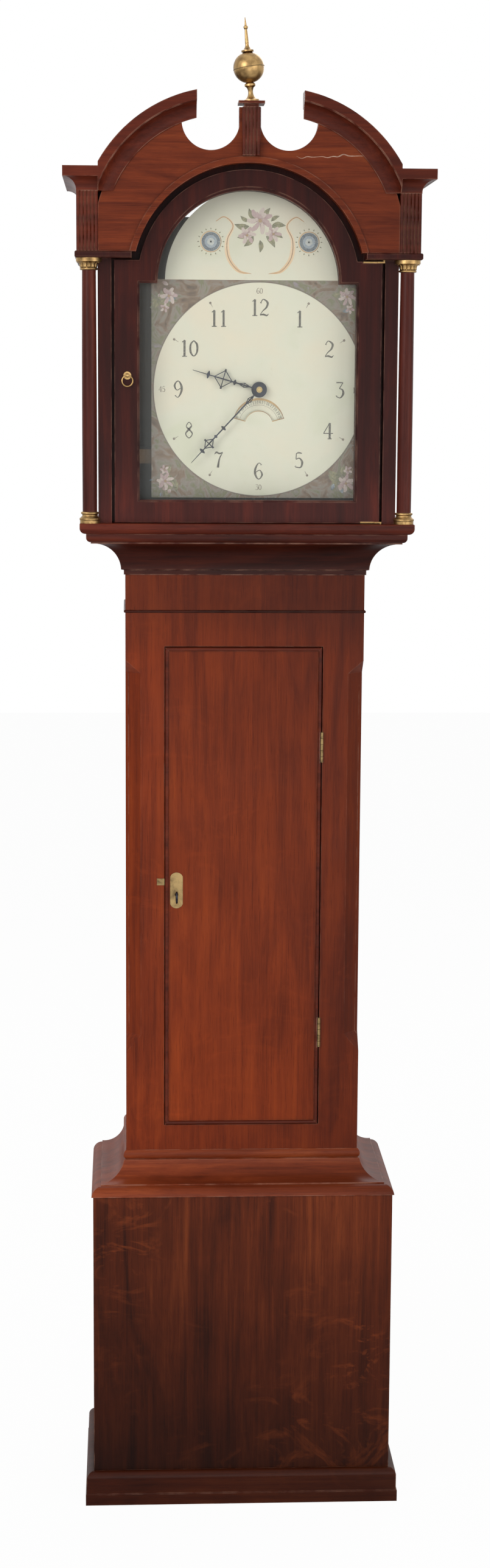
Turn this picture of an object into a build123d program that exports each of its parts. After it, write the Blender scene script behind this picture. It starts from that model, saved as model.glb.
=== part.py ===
from build123d import *
from math import atan2, cos, degrees, hypot, pi, radians, sin, sqrt
import os

# Longcase clock: an oak and mahogany case with a plinth, a trunk and a hood, around a thirty-hour movement
# on one endless rope. Millimetres, z up, floor at z = 0, front towards -y.
# Depths below are measured back from the face of the plinth. Saving a node moves it forward, so that the
# whole clock stands centred on its own origin.

plinth_half = 221.5
trunk_half = 172.5
hood_half = 210.0
frieze_half = 239.0
cornice_half = 257.5
rear = 240.0
backboard_thick = 10.0
board = 18.0

plinth_top = 477.0
trunk_top = 1391.0
waist_top = 1452.0
hood_floor = 1467.0
architrave_foot = 1833.0
architrave_top = 1842.0
frieze_top = 1923.0
slab_foot = 1941.0
slab_top = 1955.0
cheek_top = 1549.0
seat_top = 1569.0

inner_rear = rear - backboard_thick
cornice_front = plinth_half - cornice_half
middle_depth = (cornice_front + rear) / 2

# Trunk door and its lock
door_left = -115.0
door_right = 112.0
door_foot = 573.0
door_head = 1286.0
bead_wide = 5.0
bead_proud = 4.0
hinge_feet = (691.0, 1118.0)
hinge_long = 44.5
key_x = -98.3
key_z = 922.0

# Hood door
hood_door_half = 187.0
hood_door_foot = 1468.0
hood_door_shoulder = 1831.0
hood_door_front = 2.0
hood_door_back = 22.0
mask_back = 26.0
arch_height = 1800.0
hood_door_arch = 155.0
glass_half = 152.0
glass_arch = 127.0
glass_foot = 1499.5
pivot_x = 189.0
ring_x = -169.0
ring_z = 1672.5

# Hood head
mould_x = 35.0
mould_z = 1860.0
mould_outer = 201.0
mould_band = 188.0
mould_inner = 166.0
tip_x = 73.5
scoop_x = 54.0
scoop_z = 2019.0
scoop_r = 40.0
block_x = 1.6

# Movement: every wheel turns on an arbor along y
hub_x = 17.5
hub_z = 1654.0
disc_z = hub_z - 50
great_out = 30.0
great_drop = 19.9
front_plate = 75.0
back_plate = 138.0
plate_thick = 3.0
rope_depth = 108.0
rope_r = 2.2
rope_over = 16.0
bight_r = 14.0
slack_r = 46.0
pendulum_depth = 165.0
pivot_z = 1715.0
escape_z = 1684.0
bob_z = 722.0
weight_foot = 1000.0
weight_long = 180.0
weight_r = 28.0
weight_pulley_z = 1225.0
slack_z = 330.0
arbor_r = 1.4
minute_angle = 223.0
hour_angle = 286.0

os.makedirs("parts", exist_ok=True)


def end_of(step):
    return step[1] if isinstance(step[0], tuple) else step


def outline(steps, place):
    # A step is a point to run a straight edge to, or a pair: a point on an arc and the arc's end.
    edges = []
    here = steps[0]
    for step in steps[1:] + steps[:1]:
        end = end_of(step)
        if isinstance(step[0], tuple):
            edges.append(ThreePointArc(place(*here), place(*step[0]), place(*end)))
        elif hypot(end[0] - here[0], end[1] - here[1]) > 1e-6:
            edges.append(Line(place(*here), place(*end)))
        here = end
    return Face(Wire(edges))


def remap(steps, rule):
    return [(rule(*s[0]), rule(*s[1])) if isinstance(s[0], tuple) else rule(*s) for s in steps]


def quarter(start, end, centre):
    # A quarter round from start to end about the centre, as an outline step.
    share = sqrt(0.5)
    through = tuple(c + share * (a - c + b - c) for a, b, c in zip(start, end, centre))
    return (through, end)


def box(x0, x1, y0, y1, z0, z1):
    return Pos((x0 + x1) / 2, (y0 + y1) / 2, (z0 + z1) / 2) * Box(x1 - x0, y1 - y0, z1 - z0)


def across(steps, y0, y1):
    return extrude(outline(steps, lambda x, z: (x, y0, z)), amount=y1 - y0, dir=(0, 1, 0))


def along(steps, x0, x1):
    return extrude(outline(steps, lambda y, z: (x0, y, z)), amount=x1 - x0, dir=(1, 0, 0))


def upward(steps, z0, z1):
    return extrude(outline(steps, lambda x, y: (x, y, z0)), amount=z1 - z0, dir=(0, 0, 1))


def turned(steps, x, y):
    return revolve(outline(steps, lambda r, z: (x + r, y, z)), Axis((x, y, 0), (0, 0, 1)))


def pin_y(x, z, y0, y1, r):
    return Pos(x, (y0 + y1) / 2, z) * (Rot(90, 0, 0) * Cylinder(r, y1 - y0))


def pin_z(x, y, z0, z1, r):
    return Pos(x, y, (z0 + z1) / 2) * Cylinder(r, z1 - z0)


def round_points(x, z, r, sides, first=0.0, sweep=360.0):
    # Points round a centre, as x and z; a part sweep includes both ends.
    whole = sweep >= 360
    step = sweep / (sides if whole else sides - 1)
    angles = [radians(first + i * step) for i in range(sides)]
    return [(x + r * cos(a), z + r * sin(a)) for a in angles]


def prism(x, z, y0, y1, r, sides=12):
    return across(round_points(x, z, r, sides), y0, y1)


def other_side(shape):
    return mirror(shape, about=Plane.YZ)


def pair(shape):
    return [shape, other_side(shape)]


def moulding(steps, depth_end, core_half, core_front):
    # A mitred moulding round the front and both sides. Steps give half width and height from the foot up;
    # the front stands out from the plinth's face as far as the sides do.
    foot = steps[0][1]
    head = end_of(steps[-1])[1]
    fronts = remap(steps, lambda half, z: (plinth_half - half, z))
    widest = cornice_half + board
    front = along([(depth_end, foot)] + fronts + [(depth_end, head)], -widest, widest)
    right = across([(0, foot)] + steps + [(0, head)], -board * 3, depth_end)
    ring = front & (right + other_side(right))
    return ring - box(-core_half, core_half, core_front, rear + 1, foot - 1, head + 1)


def save(name, *shapes):
    solids = [solid for shape in shapes for solid in shape.solids()]
    node = Compound(solids).moved(Location((0, -middle_depth, 0)))
    export_step(node, f"parts/{name}.step")


# Case


def plinth():
    save("plinth_front", box(-plinth_half, plinth_half, 0, board, 0, plinth_top))
    side = box(plinth_half - board, plinth_half, board, inner_rear, 0, plinth_top)
    block_depths = (70, 190)
    blocks = [box(trunk_half, plinth_half - board, y - 15, y + 15, 405, 465) for y in block_depths]
    save("plinth_sides", *pair(side), *[piece for block in blocks for piece in pair(block)])
    skirt = [(234, 0), (234, 16.5), (232.5, 18), (232.5, 41.6), quarter((232.5, 41.6), (plinth_half, 50.5),
                                                                       (plinth_half, 41.6))]
    save("skirting", moulding(skirt, inner_rear, plinth_half, 0))


def backboard():
    neck = 168.0
    ear = 190.0
    ear_foot = 1470.0
    top = 1905.0
    half = [(plinth_half, 0), (plinth_half, plinth_top), (trunk_half, plinth_top), (trunk_half, trunk_top),
            (neck, trunk_top), (neck, ear_foot), (ear, ear_foot), (ear, top)]
    other = [(-x, z) for x, z in reversed(half)]
    save("backboard", across(half + other, inner_rear, rear))


def corner_cut():
    # The canted corner of the trunk: a chamfer that runs out to a point at each end.
    cant = 22.0
    foot, head = 710.0, 1248.0
    foot_end, head_end = 684.0, 1267.0
    face = plinth_half - trunk_half

    def triangle(width, z):
        points = [(trunk_half - width - 1, face - 1), (trunk_half + 1, face + width + 1),
                  (trunk_half + 1, face - 1)]
        return outline(points, lambda x, y: (x, y, z))

    middle = extrude(triangle(cant, foot), amount=head - foot, dir=(0, 0, 1))
    ends = [loft([triangle(0.2, foot_end), triangle(cant, foot)]),
            loft([triangle(cant, head), triangle(0.2, head_end)])]
    return middle + ends[0] + ends[1]


def trunk():
    face = plinth_half - trunk_half
    trunk_foot = 400.0
    cheek = 18.0
    cut = corner_cut()
    side = box(trunk_half - cheek, trunk_half, face + board, inner_rear, trunk_foot, cheek_top) - cut
    save("trunk_sides", *pair(side))
    frame = box(-trunk_half, trunk_half, face, face + board, trunk_foot, trunk_top)
    frame -= box(door_left - 1, door_right + 1.5, 0, 100, door_foot - 1.2, door_head + 1.2)
    frame = frame - cut - other_side(cut)
    for z in hinge_feet:
        frame -= hinge_seat(z, 1)
    pocket = box(door_left - 12, door_left, 56.5, 65.5, 930, 946)
    save("trunk_front_frame", frame - pocket)
    bead = moulding([(trunk_half, 1336), ((trunk_half + 2.2, 1338), (trunk_half, 1340))],
                    inner_rear, trunk_half, face)
    throat = [(174.5, trunk_top), (174.5, 1397.5), (178.5, 1398.5),
              quarter((178.5, 1398.5), (221, 1438), (221, 1398.5)), (221, 1440),
              quarter((221, 1440), (227.5, 1446.8), (221, 1446.8)), (227.5, waist_top)]
    save("waist_moulding", moulding(throat, inner_rear, trunk_half, face), bead)
    cove = [(224, plinth_top), quarter((224, plinth_top), (210, 490.5), (210, plinth_top)), (210, 492.5),
            quarter((210, 492.5), (176, 519.5), (210, 519.5)), (trunk_half + 0.5, 520),
            ((trunk_half + 4, 527), (trunk_half + 0.5, 534))]
    save("plinth_cove_moulding", moulding(cove, inner_rear, trunk_half, face))
    seat = box(-trunk_half, trunk_half, 60, 215, cheek_top, seat_top)
    seat -= box(hub_x - slack_r - 6, hub_x + slack_r + 6, rope_depth - 6, rope_depth + 6, cheek_top - 1, seat_top + 1)
    seat -= box(hub_x - 16, hub_x + 16, pendulum_depth - 10, pendulum_depth + 10, cheek_top - 1, seat_top + 1)
    save("seatboard", seat)


# Trunk door


hinge_x = 112.9
hinge_y = 46.5
knuckle_r = 2.4
leaf = 1.1


def hinge_seat(z, side):
    # The room cut for a hinge: side 1 is the frame's, side -1 the door's.
    room = pin_z(hinge_x, hinge_y, z - 0.3, z + hinge_long + 0.3, knuckle_r + 0.5)
    if side > 0:
        return room + box(door_right + 1.5, door_right + 1.5 + leaf, 40, 64, z, z + hinge_long)
    return room + box(door_right - leaf, door_right, 40, 64, z, z + hinge_long)


def hinge_leaf(z, side):
    knuckles = 5
    long = hinge_long / knuckles
    gap = 0.3
    picks = range(0, knuckles, 2) if side > 0 else range(1, knuckles, 2)
    flat = (door_right + 1.5, door_right + 1.5 + leaf) if side > 0 else (door_right - leaf, door_right)
    piece = box(*flat, 49.3, 64, z, z + hinge_long)
    for i in picks:
        z0 = z + i * long + gap
        z1 = z + (i + 1) * long - gap
        barrel = pin_z(hinge_x, hinge_y, z0, z1, knuckle_r)
        arm = box(min(flat[0], hinge_x), max(flat[1], hinge_x), hinge_y, 49.4, z0, z1)
        piece += barrel + (arm & box(*flat, 40, 60, z0, z1))
    return piece - pin_z(hinge_x, hinge_y, z - 1, z + hinge_long + 1, 1.0)


def trunk_door():
    face = plinth_half - trunk_half
    outer = box(door_left, door_right, face - bead_proud, face + board, door_foot, door_head)
    inner = box(door_left + bead_wide, door_right - bead_wide, 0, 100, door_foot + bead_wide, door_head - bead_wide)
    bead = fillet((outer - inner).faces().sort_by(Axis.Y)[0].edges(), 2.2)
    lock_right = -68.0
    lock_front, lock_back = 55.0, 67.0
    lock_foot, lock_head = 900.0, 954.0
    rim = 1.2
    edge_plate = box(door_left, door_left + rim, lock_front, lock_back, lock_foot - 3, lock_head + 3)
    case_room = box(door_left, lock_right, lock_front, lock_back, lock_foot, lock_head)
    board_face = box(door_left + bead_wide, door_right - bead_wide, face, face + board,
                     door_foot + bead_wide, door_head - bead_wide)
    key_slot = box(key_x - 3, key_x + 3, 40, 60, key_z - 8, key_z + 4)
    for z in hinge_feet:
        bead -= hinge_seat(z, -1)
        board_face -= hinge_seat(z, -1)
    save("trunk_door_cock_bead", bead - edge_plate - case_room)
    save("trunk_door_board", board_face - case_room - key_slot)
    save("trunk_hinge_frame_leaves",
         *[hinge_leaf(z, 1) + pin_z(hinge_x, hinge_y, z, z + hinge_long, 0.7) for z in hinge_feet])
    save("trunk_hinge_door_leaves", *[hinge_leaf(z, -1) for z in hinge_feet])
    wall = 2.0
    case = box(door_left + rim, lock_right, lock_front + 0.2, lock_back - 0.2, lock_foot + 0.2, lock_head - 0.2)
    case -= box(door_left - 5, lock_right - wall, lock_front + wall, lock_back - wall, lock_foot + wall,
                lock_head - wall)
    case -= box(key_x - 3, key_x + 3, 50, 60, key_z - 8, key_z + 4)
    bolt_front, bolt_back = 58.0, 64.0
    bolt_foot, bolt_head = 932.0, 944.0
    selvedge = edge_plate - box(door_left - 1, door_left + 2, bolt_front - 0.5, bolt_back + 0.5, bolt_foot - 1,
                                bolt_head + 1)
    plate_half = 9.2
    plate_foot, plate_head = 908.0, 948.5
    bow = 6.5
    plate = across([(key_x - plate_half, plate_foot), ((key_x, plate_foot - bow), (key_x + plate_half, plate_foot)),
                    (key_x + plate_half, plate_head), ((key_x, plate_head + bow), (key_x - plate_half, plate_head))],
                   face - 1, face)
    plate -= pin_y(key_x, key_z, face - 2, face + 1, 2.6)
    plate -= box(key_x - 1.4, key_x + 1.4, face - 2, face + 1, key_z - 8, key_z)
    save("trunk_lock", case, selvedge, plate)
    save("lock_bolt", box(door_left + 0.2, -80, bolt_front, bolt_back, bolt_foot, bolt_head))
    keeper = box(door_left - 12, door_left - 1, face - 0.9, face, 936, 946)
    save("lock_keeper", keeper)
    shaft = pin_y(key_x, key_z, 33, 63, 1.6)
    bit = box(key_x - 0.9, key_x + 0.9, 59, 63, key_z - 8, key_z)
    bow = Pos(key_x, 26, key_z) * (Rot(0, 90, 0) * Torus(7.5, 1.5))
    save("trunk_key", shaft + bit + bow)


# Hood


def arch_outline(half, foot, shoulder, arch_half, arch_r, arch_z):
    return [(-half, foot), (half, foot), (half, shoulder), (arch_half, shoulder),
            ((0, arch_z + arch_r), (-arch_half, shoulder)), (-half, shoulder)]


def hood_case():
    nose = [(228, waist_top), quarter((228, waist_top), (236.4, 1460.5), (228, 1460.5)), (236.4, 1465),
            ((235.9, 1466.6), (234.9, hood_floor))]
    base = moulding(nose, rear, 175, 60)
    base -= pin_z(pivot_x, 0, 1460, 1470, 1.9)
    save("hood_base_frame", base)
    side = box(hood_half - 14, hood_half, mask_back, rear, hood_floor, slab_foot)
    stile = box(pivot_x + 2, hood_half, hood_door_front, hood_door_back, hood_floor, architrave_foot)
    mask_head = 1972.0
    mask = box(-hood_half, hood_half, hood_door_back, mask_back, hood_floor, slab_foot)
    mask += box(-185, 185, hood_door_back, mask_back, slab_foot, mask_head)
    mask -= glass_opening(0, hood_door_back - 1, mask_back + 1)
    strip = [(240, architrave_foot), (241.5, 1834.5), (241.5, 1840.5), (240, architrave_top)]
    architrave = moulding(strip, rear, hood_half, hood_door_back)
    architrave -= box(-163, 163, -60, 60, 1800, 1900)
    architrave -= pin_z(pivot_x, 0, 1830, 1839, 1.9)
    frieze = box(hood_half, 236, hood_door_back, rear, architrave_top, frieze_top)
    fill = box(hood_half, 239, 0, hood_door_back, architrave_top, slab_foot)
    save("hood_carcass", *pair(side), *pair(stile), mask, architrave, *pair(frieze), *pair(fill))
    save("hood_roof", box(14 - hood_half, hood_half - 14, mask_back, rear, slab_foot, slab_foot + 8))


def glass_opening(margin, y0, y1):
    half = glass_half + margin
    head = arch_height + margin
    arch = glass_arch + margin
    return across([(-half, glass_foot - margin), (half, glass_foot - margin), (half, head), (arch, head),
                   ((0, head + arch), (-arch, head)), (-half, head)], y0, y1)


def tympanum():
    bead_outer = 171.0
    bead_inner = 162.5
    under = 180.0
    foot = architrave_top
    edge_x = frieze_half - 30
    rise = sqrt(bead_outer ** 2 - (foot - arch_height) ** 2)
    edge_z = mould_z + sqrt(under ** 2 - (edge_x - mould_x) ** 2)
    notch_x = scoop_x + scoop_r
    notch_z = mould_z + sqrt(under ** 2 - (notch_x - mould_x) ** 2)
    turn = radians(63)
    through = (mould_x + under * cos(turn), mould_z + under * sin(turn))
    stop_x = 15.0
    stop_z = scoop_z - sqrt(scoop_r ** 2 - (scoop_x - stop_x) ** 2)
    block_top = 2036.6
    steps = [(rise, foot), (edge_x, foot), (edge_x, edge_z), (through, (notch_x, notch_z)), (notch_x, scoop_z),
             ((scoop_x, scoop_z - scoop_r), (stop_x, stop_z)), (stop_x, block_top), (-stop_x, block_top),
             (-stop_x, stop_z), ((-scoop_x, scoop_z - scoop_r), (-notch_x, scoop_z)),
             (-notch_x, notch_z), ((-through[0], through[1]), (-edge_x, edge_z)), (-edge_x, foot), (-rise, foot),
             ((0, arch_height + bead_outer), (rise, foot))]
    face = across(steps, -14, 0)
    inner_rise = sqrt(bead_inner ** 2 - (foot - arch_height) ** 2)
    bead = across([(rise, foot), ((0, arch_height + bead_outer), (-rise, foot)), (-inner_rise, foot),
                   ((0, arch_height + bead_inner), (inner_rise, foot))], -17, -1)
    save("tympanum", face, bead)


def curved_moulding():
    # The right-hand swan neck: an arc about its own centre, cut upright at the tip and where it lands.
    half_profile = [(mould_inner, -14), (mould_inner, -16), quarter((mould_inner, -16), (187, -33), (mould_inner, -33)),
                    (mould_band, -33), (mould_band, cornice_front), (mould_outer, cornice_front),
                    (mould_outer, 0), (180, 0), (180, -14)]
    face = outline(half_profile, lambda r, y: (mould_x + r, y, mould_z))
    neck = revolve(face, Axis((mould_x, 0, mould_z), (0, -1, 0)), revolution_arc=100)
    return neck & box(tip_x, frieze_half - 30, -60, 60, frieze_top, 2100)


def cornice():
    profile = [(frieze_half, frieze_top), quarter((frieze_half, frieze_top), (255, slab_foot), (255, frieze_top)),
               (cornice_half, slab_foot), (cornice_half, slab_top)]
    ends = moulding(profile, rear, hood_half, 0) - box(30 - frieze_half, frieze_half - 30, -60, 300, 1900, 2000)
    fill = box(hood_half, frieze_half, 0, hood_door_back, 1900, slab_foot)
    ends -= fill + other_side(fill)
    save("cornice_mouldings", ends, *pair(curved_moulding()))


def reeded(x0, x1, count, front, back, foot, head):
    # A block whose face is a row of upright half rounds.
    step = (x1 - x0) / count
    steps = [(x1, back), (x0, back), (x0, front + step / 2)]
    for i in range(count):
        left = x0 + i * step
        steps.append(((left + step / 2, front), (left + step, front + step / 2)))
    return upward(steps, foot, head)


def frieze_blocks():
    side = reeded(frieze_half - 30, frieze_half, 6, -16, 0, architrave_top, frieze_top)
    centre = reeded(block_x - 12.3, block_x + 12.3, 5, -24, -14, 1971.5, 2036.6)
    neck = box(block_x - 10, block_x + 10, -22, 0, 2036.6, 2040.3)
    cap = box(block_x - 18, block_x + 18, -30, 6, 2040.3, 2044)
    save("reeded_blocks", *pair(side), centre, neck + cap)


def finial():
    foot = 2044.0
    ball_z = 2089.0
    ball_r = 21.2
    stem = [(0, foot - 3), (11, foot - 3), (11, 2046.5), ((6.5, 2049), (4, 2053)), ((3.4, 2058), (5, 2063)), (7.5, 2065),
            (7.5, 2067.5), (5, 2069.5), ((ball_r, ball_z), (6, 2109.3)), (8.5, 2110.5), (8.5, 2112.5),
            ((4, 2115.5), (2.6, 2122)), (1.7, 2140), (3, 2142), (3, 2144), (1.5, 2145.5), (0.4, 2156), (0, 2156)]
    lean = -4.8
    upright = turned(stem, 0, 0)
    leaning = Pos(block_x, -12, foot) * (Rot(0, lean, 0) * (Pos(0, 0, -foot) * upright))
    save("finial", leaning & box(-60, 60, -60, 60, foot, 2200))


def columns():
    x = 222.0
    shaft = turned([(0, 1483), (10.2, 1483), ((10.4, 1600), (9.6, 1816.5)), (0, 1816.5)], x, 0)
    base = turned([(0, hood_floor), (14, hood_floor), (14, 1471), ((14.6, 1473.2), (13, 1475)), (11.6, 1476.5),
                   ((11, 1479), (12.2, 1480)), ((12.6, 1481.5), (11, 1483)), (0, 1483)], x, 0)
    capital = turned([(0, 1816.5), (11, 1816.5), ((12.6, 1818), (11.2, 1819.5)), ((12.5, 1825), (16.5, 1827.5)),
                      (18, 1828), (18, architrave_foot), (0, architrave_foot)], x, 0)
    save("hood_columns", *pair(shaft))
    body = box(0, hood_half + 0.1, hood_door_front - 0.1, 60, 1400, 1900)
    save("column_brasses", *pair(base - body), *pair(capital - body))


def hood_door():
    steps = arch_outline(hood_door_half, hood_door_foot, hood_door_shoulder,
                         sqrt(hood_door_arch ** 2 - (hood_door_shoulder - arch_height) ** 2),
                         hood_door_arch, arch_height)
    rebate = 5.0
    rebate_front = 14.0
    glass_thick = 3.0
    front_step = 2.2
    frame = across(steps, hood_door_front, hood_door_back)
    frame -= glass_opening(0, 0, 30)
    frame -= glass_opening(front_step, 0, hood_door_front + 2)
    frame -= glass_opening(rebate, rebate_front, 30)
    strap_left = 160.0
    strap_right = pivot_x + 1
    strap_front = -2.5
    strap_back = 19.5
    strap_thick = 2.0
    ear_left = 180.0
    pin_long = 6.0
    straps = []
    for foot, turn in ((hood_door_foot, -1), (hood_door_shoulder - strap_thick, 1)):
        head = foot + strap_thick
        frame -= box(strap_left - 0.5, pivot_x + 1, 0, strap_back + 0.5, min(foot, foot + turn), max(head, head + turn))
        flat = box(strap_left, ear_left, 0, strap_back, foot, head)
        ear = box(ear_left, strap_right, strap_front, hood_door_front, foot, head)
        pin = pin_z(pivot_x, 0, min(foot, head + turn * pin_long), max(head, foot + turn * pin_long), 1.5)
        straps.append(flat + ear + pin)
    save("hood_door_frame", frame)
    save("hood_door_glass", glass_opening(rebate - 0.5, rebate_front, rebate_front + glass_thick))
    eye_y = -2.9
    disc = pin_y(ring_x, ring_z, 0.6, hood_door_front, 5.5)
    neck = box(ring_x - 1.6, ring_x + 1.6, -1, 0.7, ring_z - 1.6, ring_z + 1.6)
    eye = Pos(ring_x, eye_y, ring_z) * (Rot(0, 90, 0) * Cylinder(2.8, 3.2))
    bore = Pos(ring_x, eye_y, ring_z) * (Rot(0, 90, 0) * Cylinder(1.7, 6))
    save("hood_door_brasses", *straps, disc + (neck + eye - bore))
    hoop = Pos(ring_x, eye_y, ring_z - 7.5) * (Rot(90, 0, 0) * Torus(7.5, 1.1))
    save("hood_pull_ring", hoop)


# Dial and hands


def dial():
    left, right = -135.0, 170.0
    foot, head = 1501.6, 1806.4
    arch_r = 133.5
    arch_z = 1803.0
    half = sqrt(arch_r ** 2 - (head - arch_z) ** 2)
    plate = across([(left, foot), (right, foot), (right, head), (hub_x + half, head),
                    ((hub_x, arch_z + arch_r), (hub_x - half, head)), (left, head)], 40, 42)
    plate -= pin_y(hub_x, hub_z, 39, 43, 7)
    mouth_outer, mouth_inner = 35.5, 21.0
    swing = radians(74)
    sin_s, cos_s = sin(swing), cos(swing)
    plate -= across([(hub_x - mouth_outer * sin_s, disc_z + mouth_outer * cos_s),
                     ((hub_x, disc_z + mouth_outer), (hub_x + mouth_outer * sin_s, disc_z + mouth_outer * cos_s)),
                     (hub_x + mouth_inner * sin_s, disc_z + mouth_inner * cos_s),
                     ((hub_x, disc_z + mouth_inner), (hub_x - mouth_inner * sin_s, disc_z + mouth_inner * cos_s))],
                    39, 43)
    feet = [pin_y(x, z, 42, front_plate, 2.5) for x in (hub_x - 50, hub_x + 50) for z in (1583, 1712)]
    stud = pin_y(hub_x, disc_z, 42, 47, 1.5)
    for post in feet:
        plate += post
    save("dial_plate", plate + stud)
    disc = pin_y(hub_x, disc_z, 43, 44.5, 41) - pin_y(hub_x, disc_z, 42, 46, 1.9)
    save("date_disc", disc)


def lozenge(z, half_wide, half_long, y0, y1, rim):
    # An open diamond on the hand's middle line, with a cross inside it.
    diamond = [(0, z - half_long), (half_wide, z), (0, z + half_long), (-half_wide, z)]
    shrink = 1 - rim / half_wide
    inside = [(x * shrink, z + (zz - z) * shrink) for x, zz in diamond]
    ring = across(diamond, y0, y1) - across(inside, y0 - 1, y1 + 1)
    cross = box(1 - half_wide, half_wide - 1, y0, y1, z - rim / 2.4, z + rim / 2.4)
    return ring + cross


def hand(length, lozenge_at, half_wide, half_long, bars, y0, y1, hub_r, bore, angle):
    # A pierced hand: a slim stem with an open loop by the boss, a crossed lozenge and small cross bars.
    stem = 0.95
    shape = across([(-stem, 0), (-stem, lozenge_at), (-0.35, length), (0.35, length), (stem, lozenge_at), (stem, 0)],
                   y0, y1)
    shape += pin_y(0, 0, y0, y1, hub_r)
    loop_z = hub_r + 11
    shape += lozenge(loop_z, 3.6, 10.5, y0, y1, 1.2)
    shape += lozenge(lozenge_at, half_wide, half_long, y0, y1, 1.6)
    for side in (-1, 1):
        tip = side * half_wide
        shape += box(tip - 1.3, tip + 1.3, y0, y1, lozenge_at - 1.3, lozenge_at + 1.3)
    for bar_z, bar_half in bars:
        shape += across([(-bar_half, bar_z - 0.6), (0, bar_z - 2.6), (bar_half, bar_z - 0.6),
                         (bar_half, bar_z + 0.6), (0, bar_z + 2.6), (-bar_half, bar_z + 0.6)], y0, y1)
    shape -= pin_y(0, 0, y0 - 1, y1 + 1, bore)
    return Pos(hub_x, 0, hub_z) * (Rot(0, angle, 0) * shape)


# Movement


def gear(teeth, module, x, z, y0, y1, phase, thin=0.40, add=0.7, spokes=True, hub=4.0):
    # A wheel with straight-sided teeth; one tooth is centred on the phase angle.
    r = module * teeth / 2
    pitch = 2 * pi / teeth
    points = []
    for i in range(teeth):
        mid = radians(phase) + i * pitch
        for radius, share in ((r - 1.1 * module, -thin), (r + add * module, -thin * 0.45),
                              (r + add * module, thin * 0.45), (r - 1.1 * module, thin)):
            a = mid + share * pitch
            points.append((x + radius * cos(a), z + radius * sin(a)))
    wheel = across(points, y0, y1)
    if spokes:
        rim = r - 1.1 * module - 3
        for i in range(4):
            first = degrees(i * pi / 2)
            outer = round_points(x, z, rim, 6, first + 12, 66)
            inner = list(reversed(round_points(x, z, hub + 3, 3, first + 24, 42)))
            wheel -= across(outer + inner, y0 - 1, y1 + 1)
    return wheel


def mate(theta, phase, driver_teeth, teeth):
    # The phase that puts a second wheel, at the angle theta from the first, in mesh with it.
    return theta + 180 - (phase - theta) * driver_teeth / teeth - 180 / teeth


def place_from(x, z, angle, distance):
    return x + distance * cos(radians(angle)), z + distance * sin(radians(angle))


def bearing(a, b):
    return degrees(atan2(b[1] - a[1], b[0] - a[0]))


def meet(a, ra, b, rb):
    # The crossing of two circles that lies to the right of the line from a to b.
    span = hypot(b[0] - a[0], b[1] - a[1])
    reach = (ra ** 2 - rb ** 2 + span ** 2) / (2 * span)
    off = sqrt(ra ** 2 - reach ** 2)
    ux, uz = (b[0] - a[0]) / span, (b[1] - a[1]) / span
    return a[0] + reach * ux + off * uz, a[1] + reach * uz - off * ux


going = (hub_x + great_out, hub_z - great_drop)
strike = (hub_x - great_out, hub_z - great_drop)
great_teeth, second_teeth, leaves = 60, 64, 8
great_module, second_module = 0.95, 0.8
escape = (hub_x, escape_z)
second = meet(going, great_module * (great_teeth + leaves) / 2, escape, second_module * (second_teeth + leaves) / 2)
strike_teeth, strike_leaves = 78, 6
strike_module, hoop_module, warning_module = 0.75, 0.65, 0.6
hoop_teeth, warning_teeth = 60, 48
hoop = place_from(*strike, 100, strike_module * (strike_teeth + strike_leaves) / 2)
warning = place_from(*hoop, 80, hoop_module * (hoop_teeth + leaves) / 2)
fly = place_from(*warning, 85, warning_module * (warning_teeth + leaves) / 2)
count_teeth = 72
count_module = 0.85
count = place_from(*strike, 120, count_module * (count_teeth + strike_leaves) / 2)
hammer_at = (-40.0, 1690.0)
motion_module = 1.0
motion_teeth = 36
hour_teeth, hour_leaves = 72, 6
hour_module = 2 * 36 / (hour_teeth + hour_leaves)


def pivots(x, z, y0=front_plate, y1=back_plate + plate_thick):
    return prism(x, z, y0, y1, arbor_r)


def plates():
    low, high = seat_top, 1729.0
    half = 62.0
    holes = [going, strike, second, escape, hoop, warning, fly, hammer_at, (hub_x, pivot_z)]
    posts = [(hub_x + s * 56, 1579) for s in (-1, 1)] + [(hub_x + s * 46, 1719) for s in (-1, 1)]

    def plate(y0):
        sheet = box(hub_x - half, hub_x + half, y0, y0 + plate_thick, low, high)
        for x, z in holes:
            sheet -= prism(x, z, y0 - 1, y0 + plate_thick + 1, arbor_r + 0.7)
        return sheet

    post = prism(hub_x, hub_z, 27.5, front_plate, 2.5)
    save("movement_front_plate", plate(front_plate) + post)
    cock = box(hub_x - 20, hub_x + 20, back_plate + plate_thick, 145, 1719, 1731)
    cock += box(hub_x - 8, hub_x + 8, 145, 171, 1724, 1731)
    for y in (159.5, 168.5):
        cheek = box(hub_x - 6, hub_x + 6, y - 1.5, y + 1.5, pivot_z - 5, 1724)
        cock += cheek
    cock += pin_y(hub_x, pivot_z, 158, 170, 1.2)
    stud = pin_y(*count, back_plate + plate_thick, 148, 1.9) + pin_y(*count, 146.5, 148, 3.6)
    save("movement_back_plate", plate(back_plate) + stud, cock)
    save("movement_pillars", *[prism(x, z, front_plate + plate_thick, back_plate, 4.5, 8) for x, z in posts])


def rope_pulley(x, z):
    groove = prism(x, z, rope_depth - 3.2, rope_depth + 3.2, rope_over - rope_r - 0.9, 24)
    cheeks = [prism(x, z, y0, y0 + 2, rope_over + 3.5, 24) for y0 in (rope_depth - 5.2, rope_depth + 3.2)]
    return groove + cheeks[0] + cheeks[1]


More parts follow.
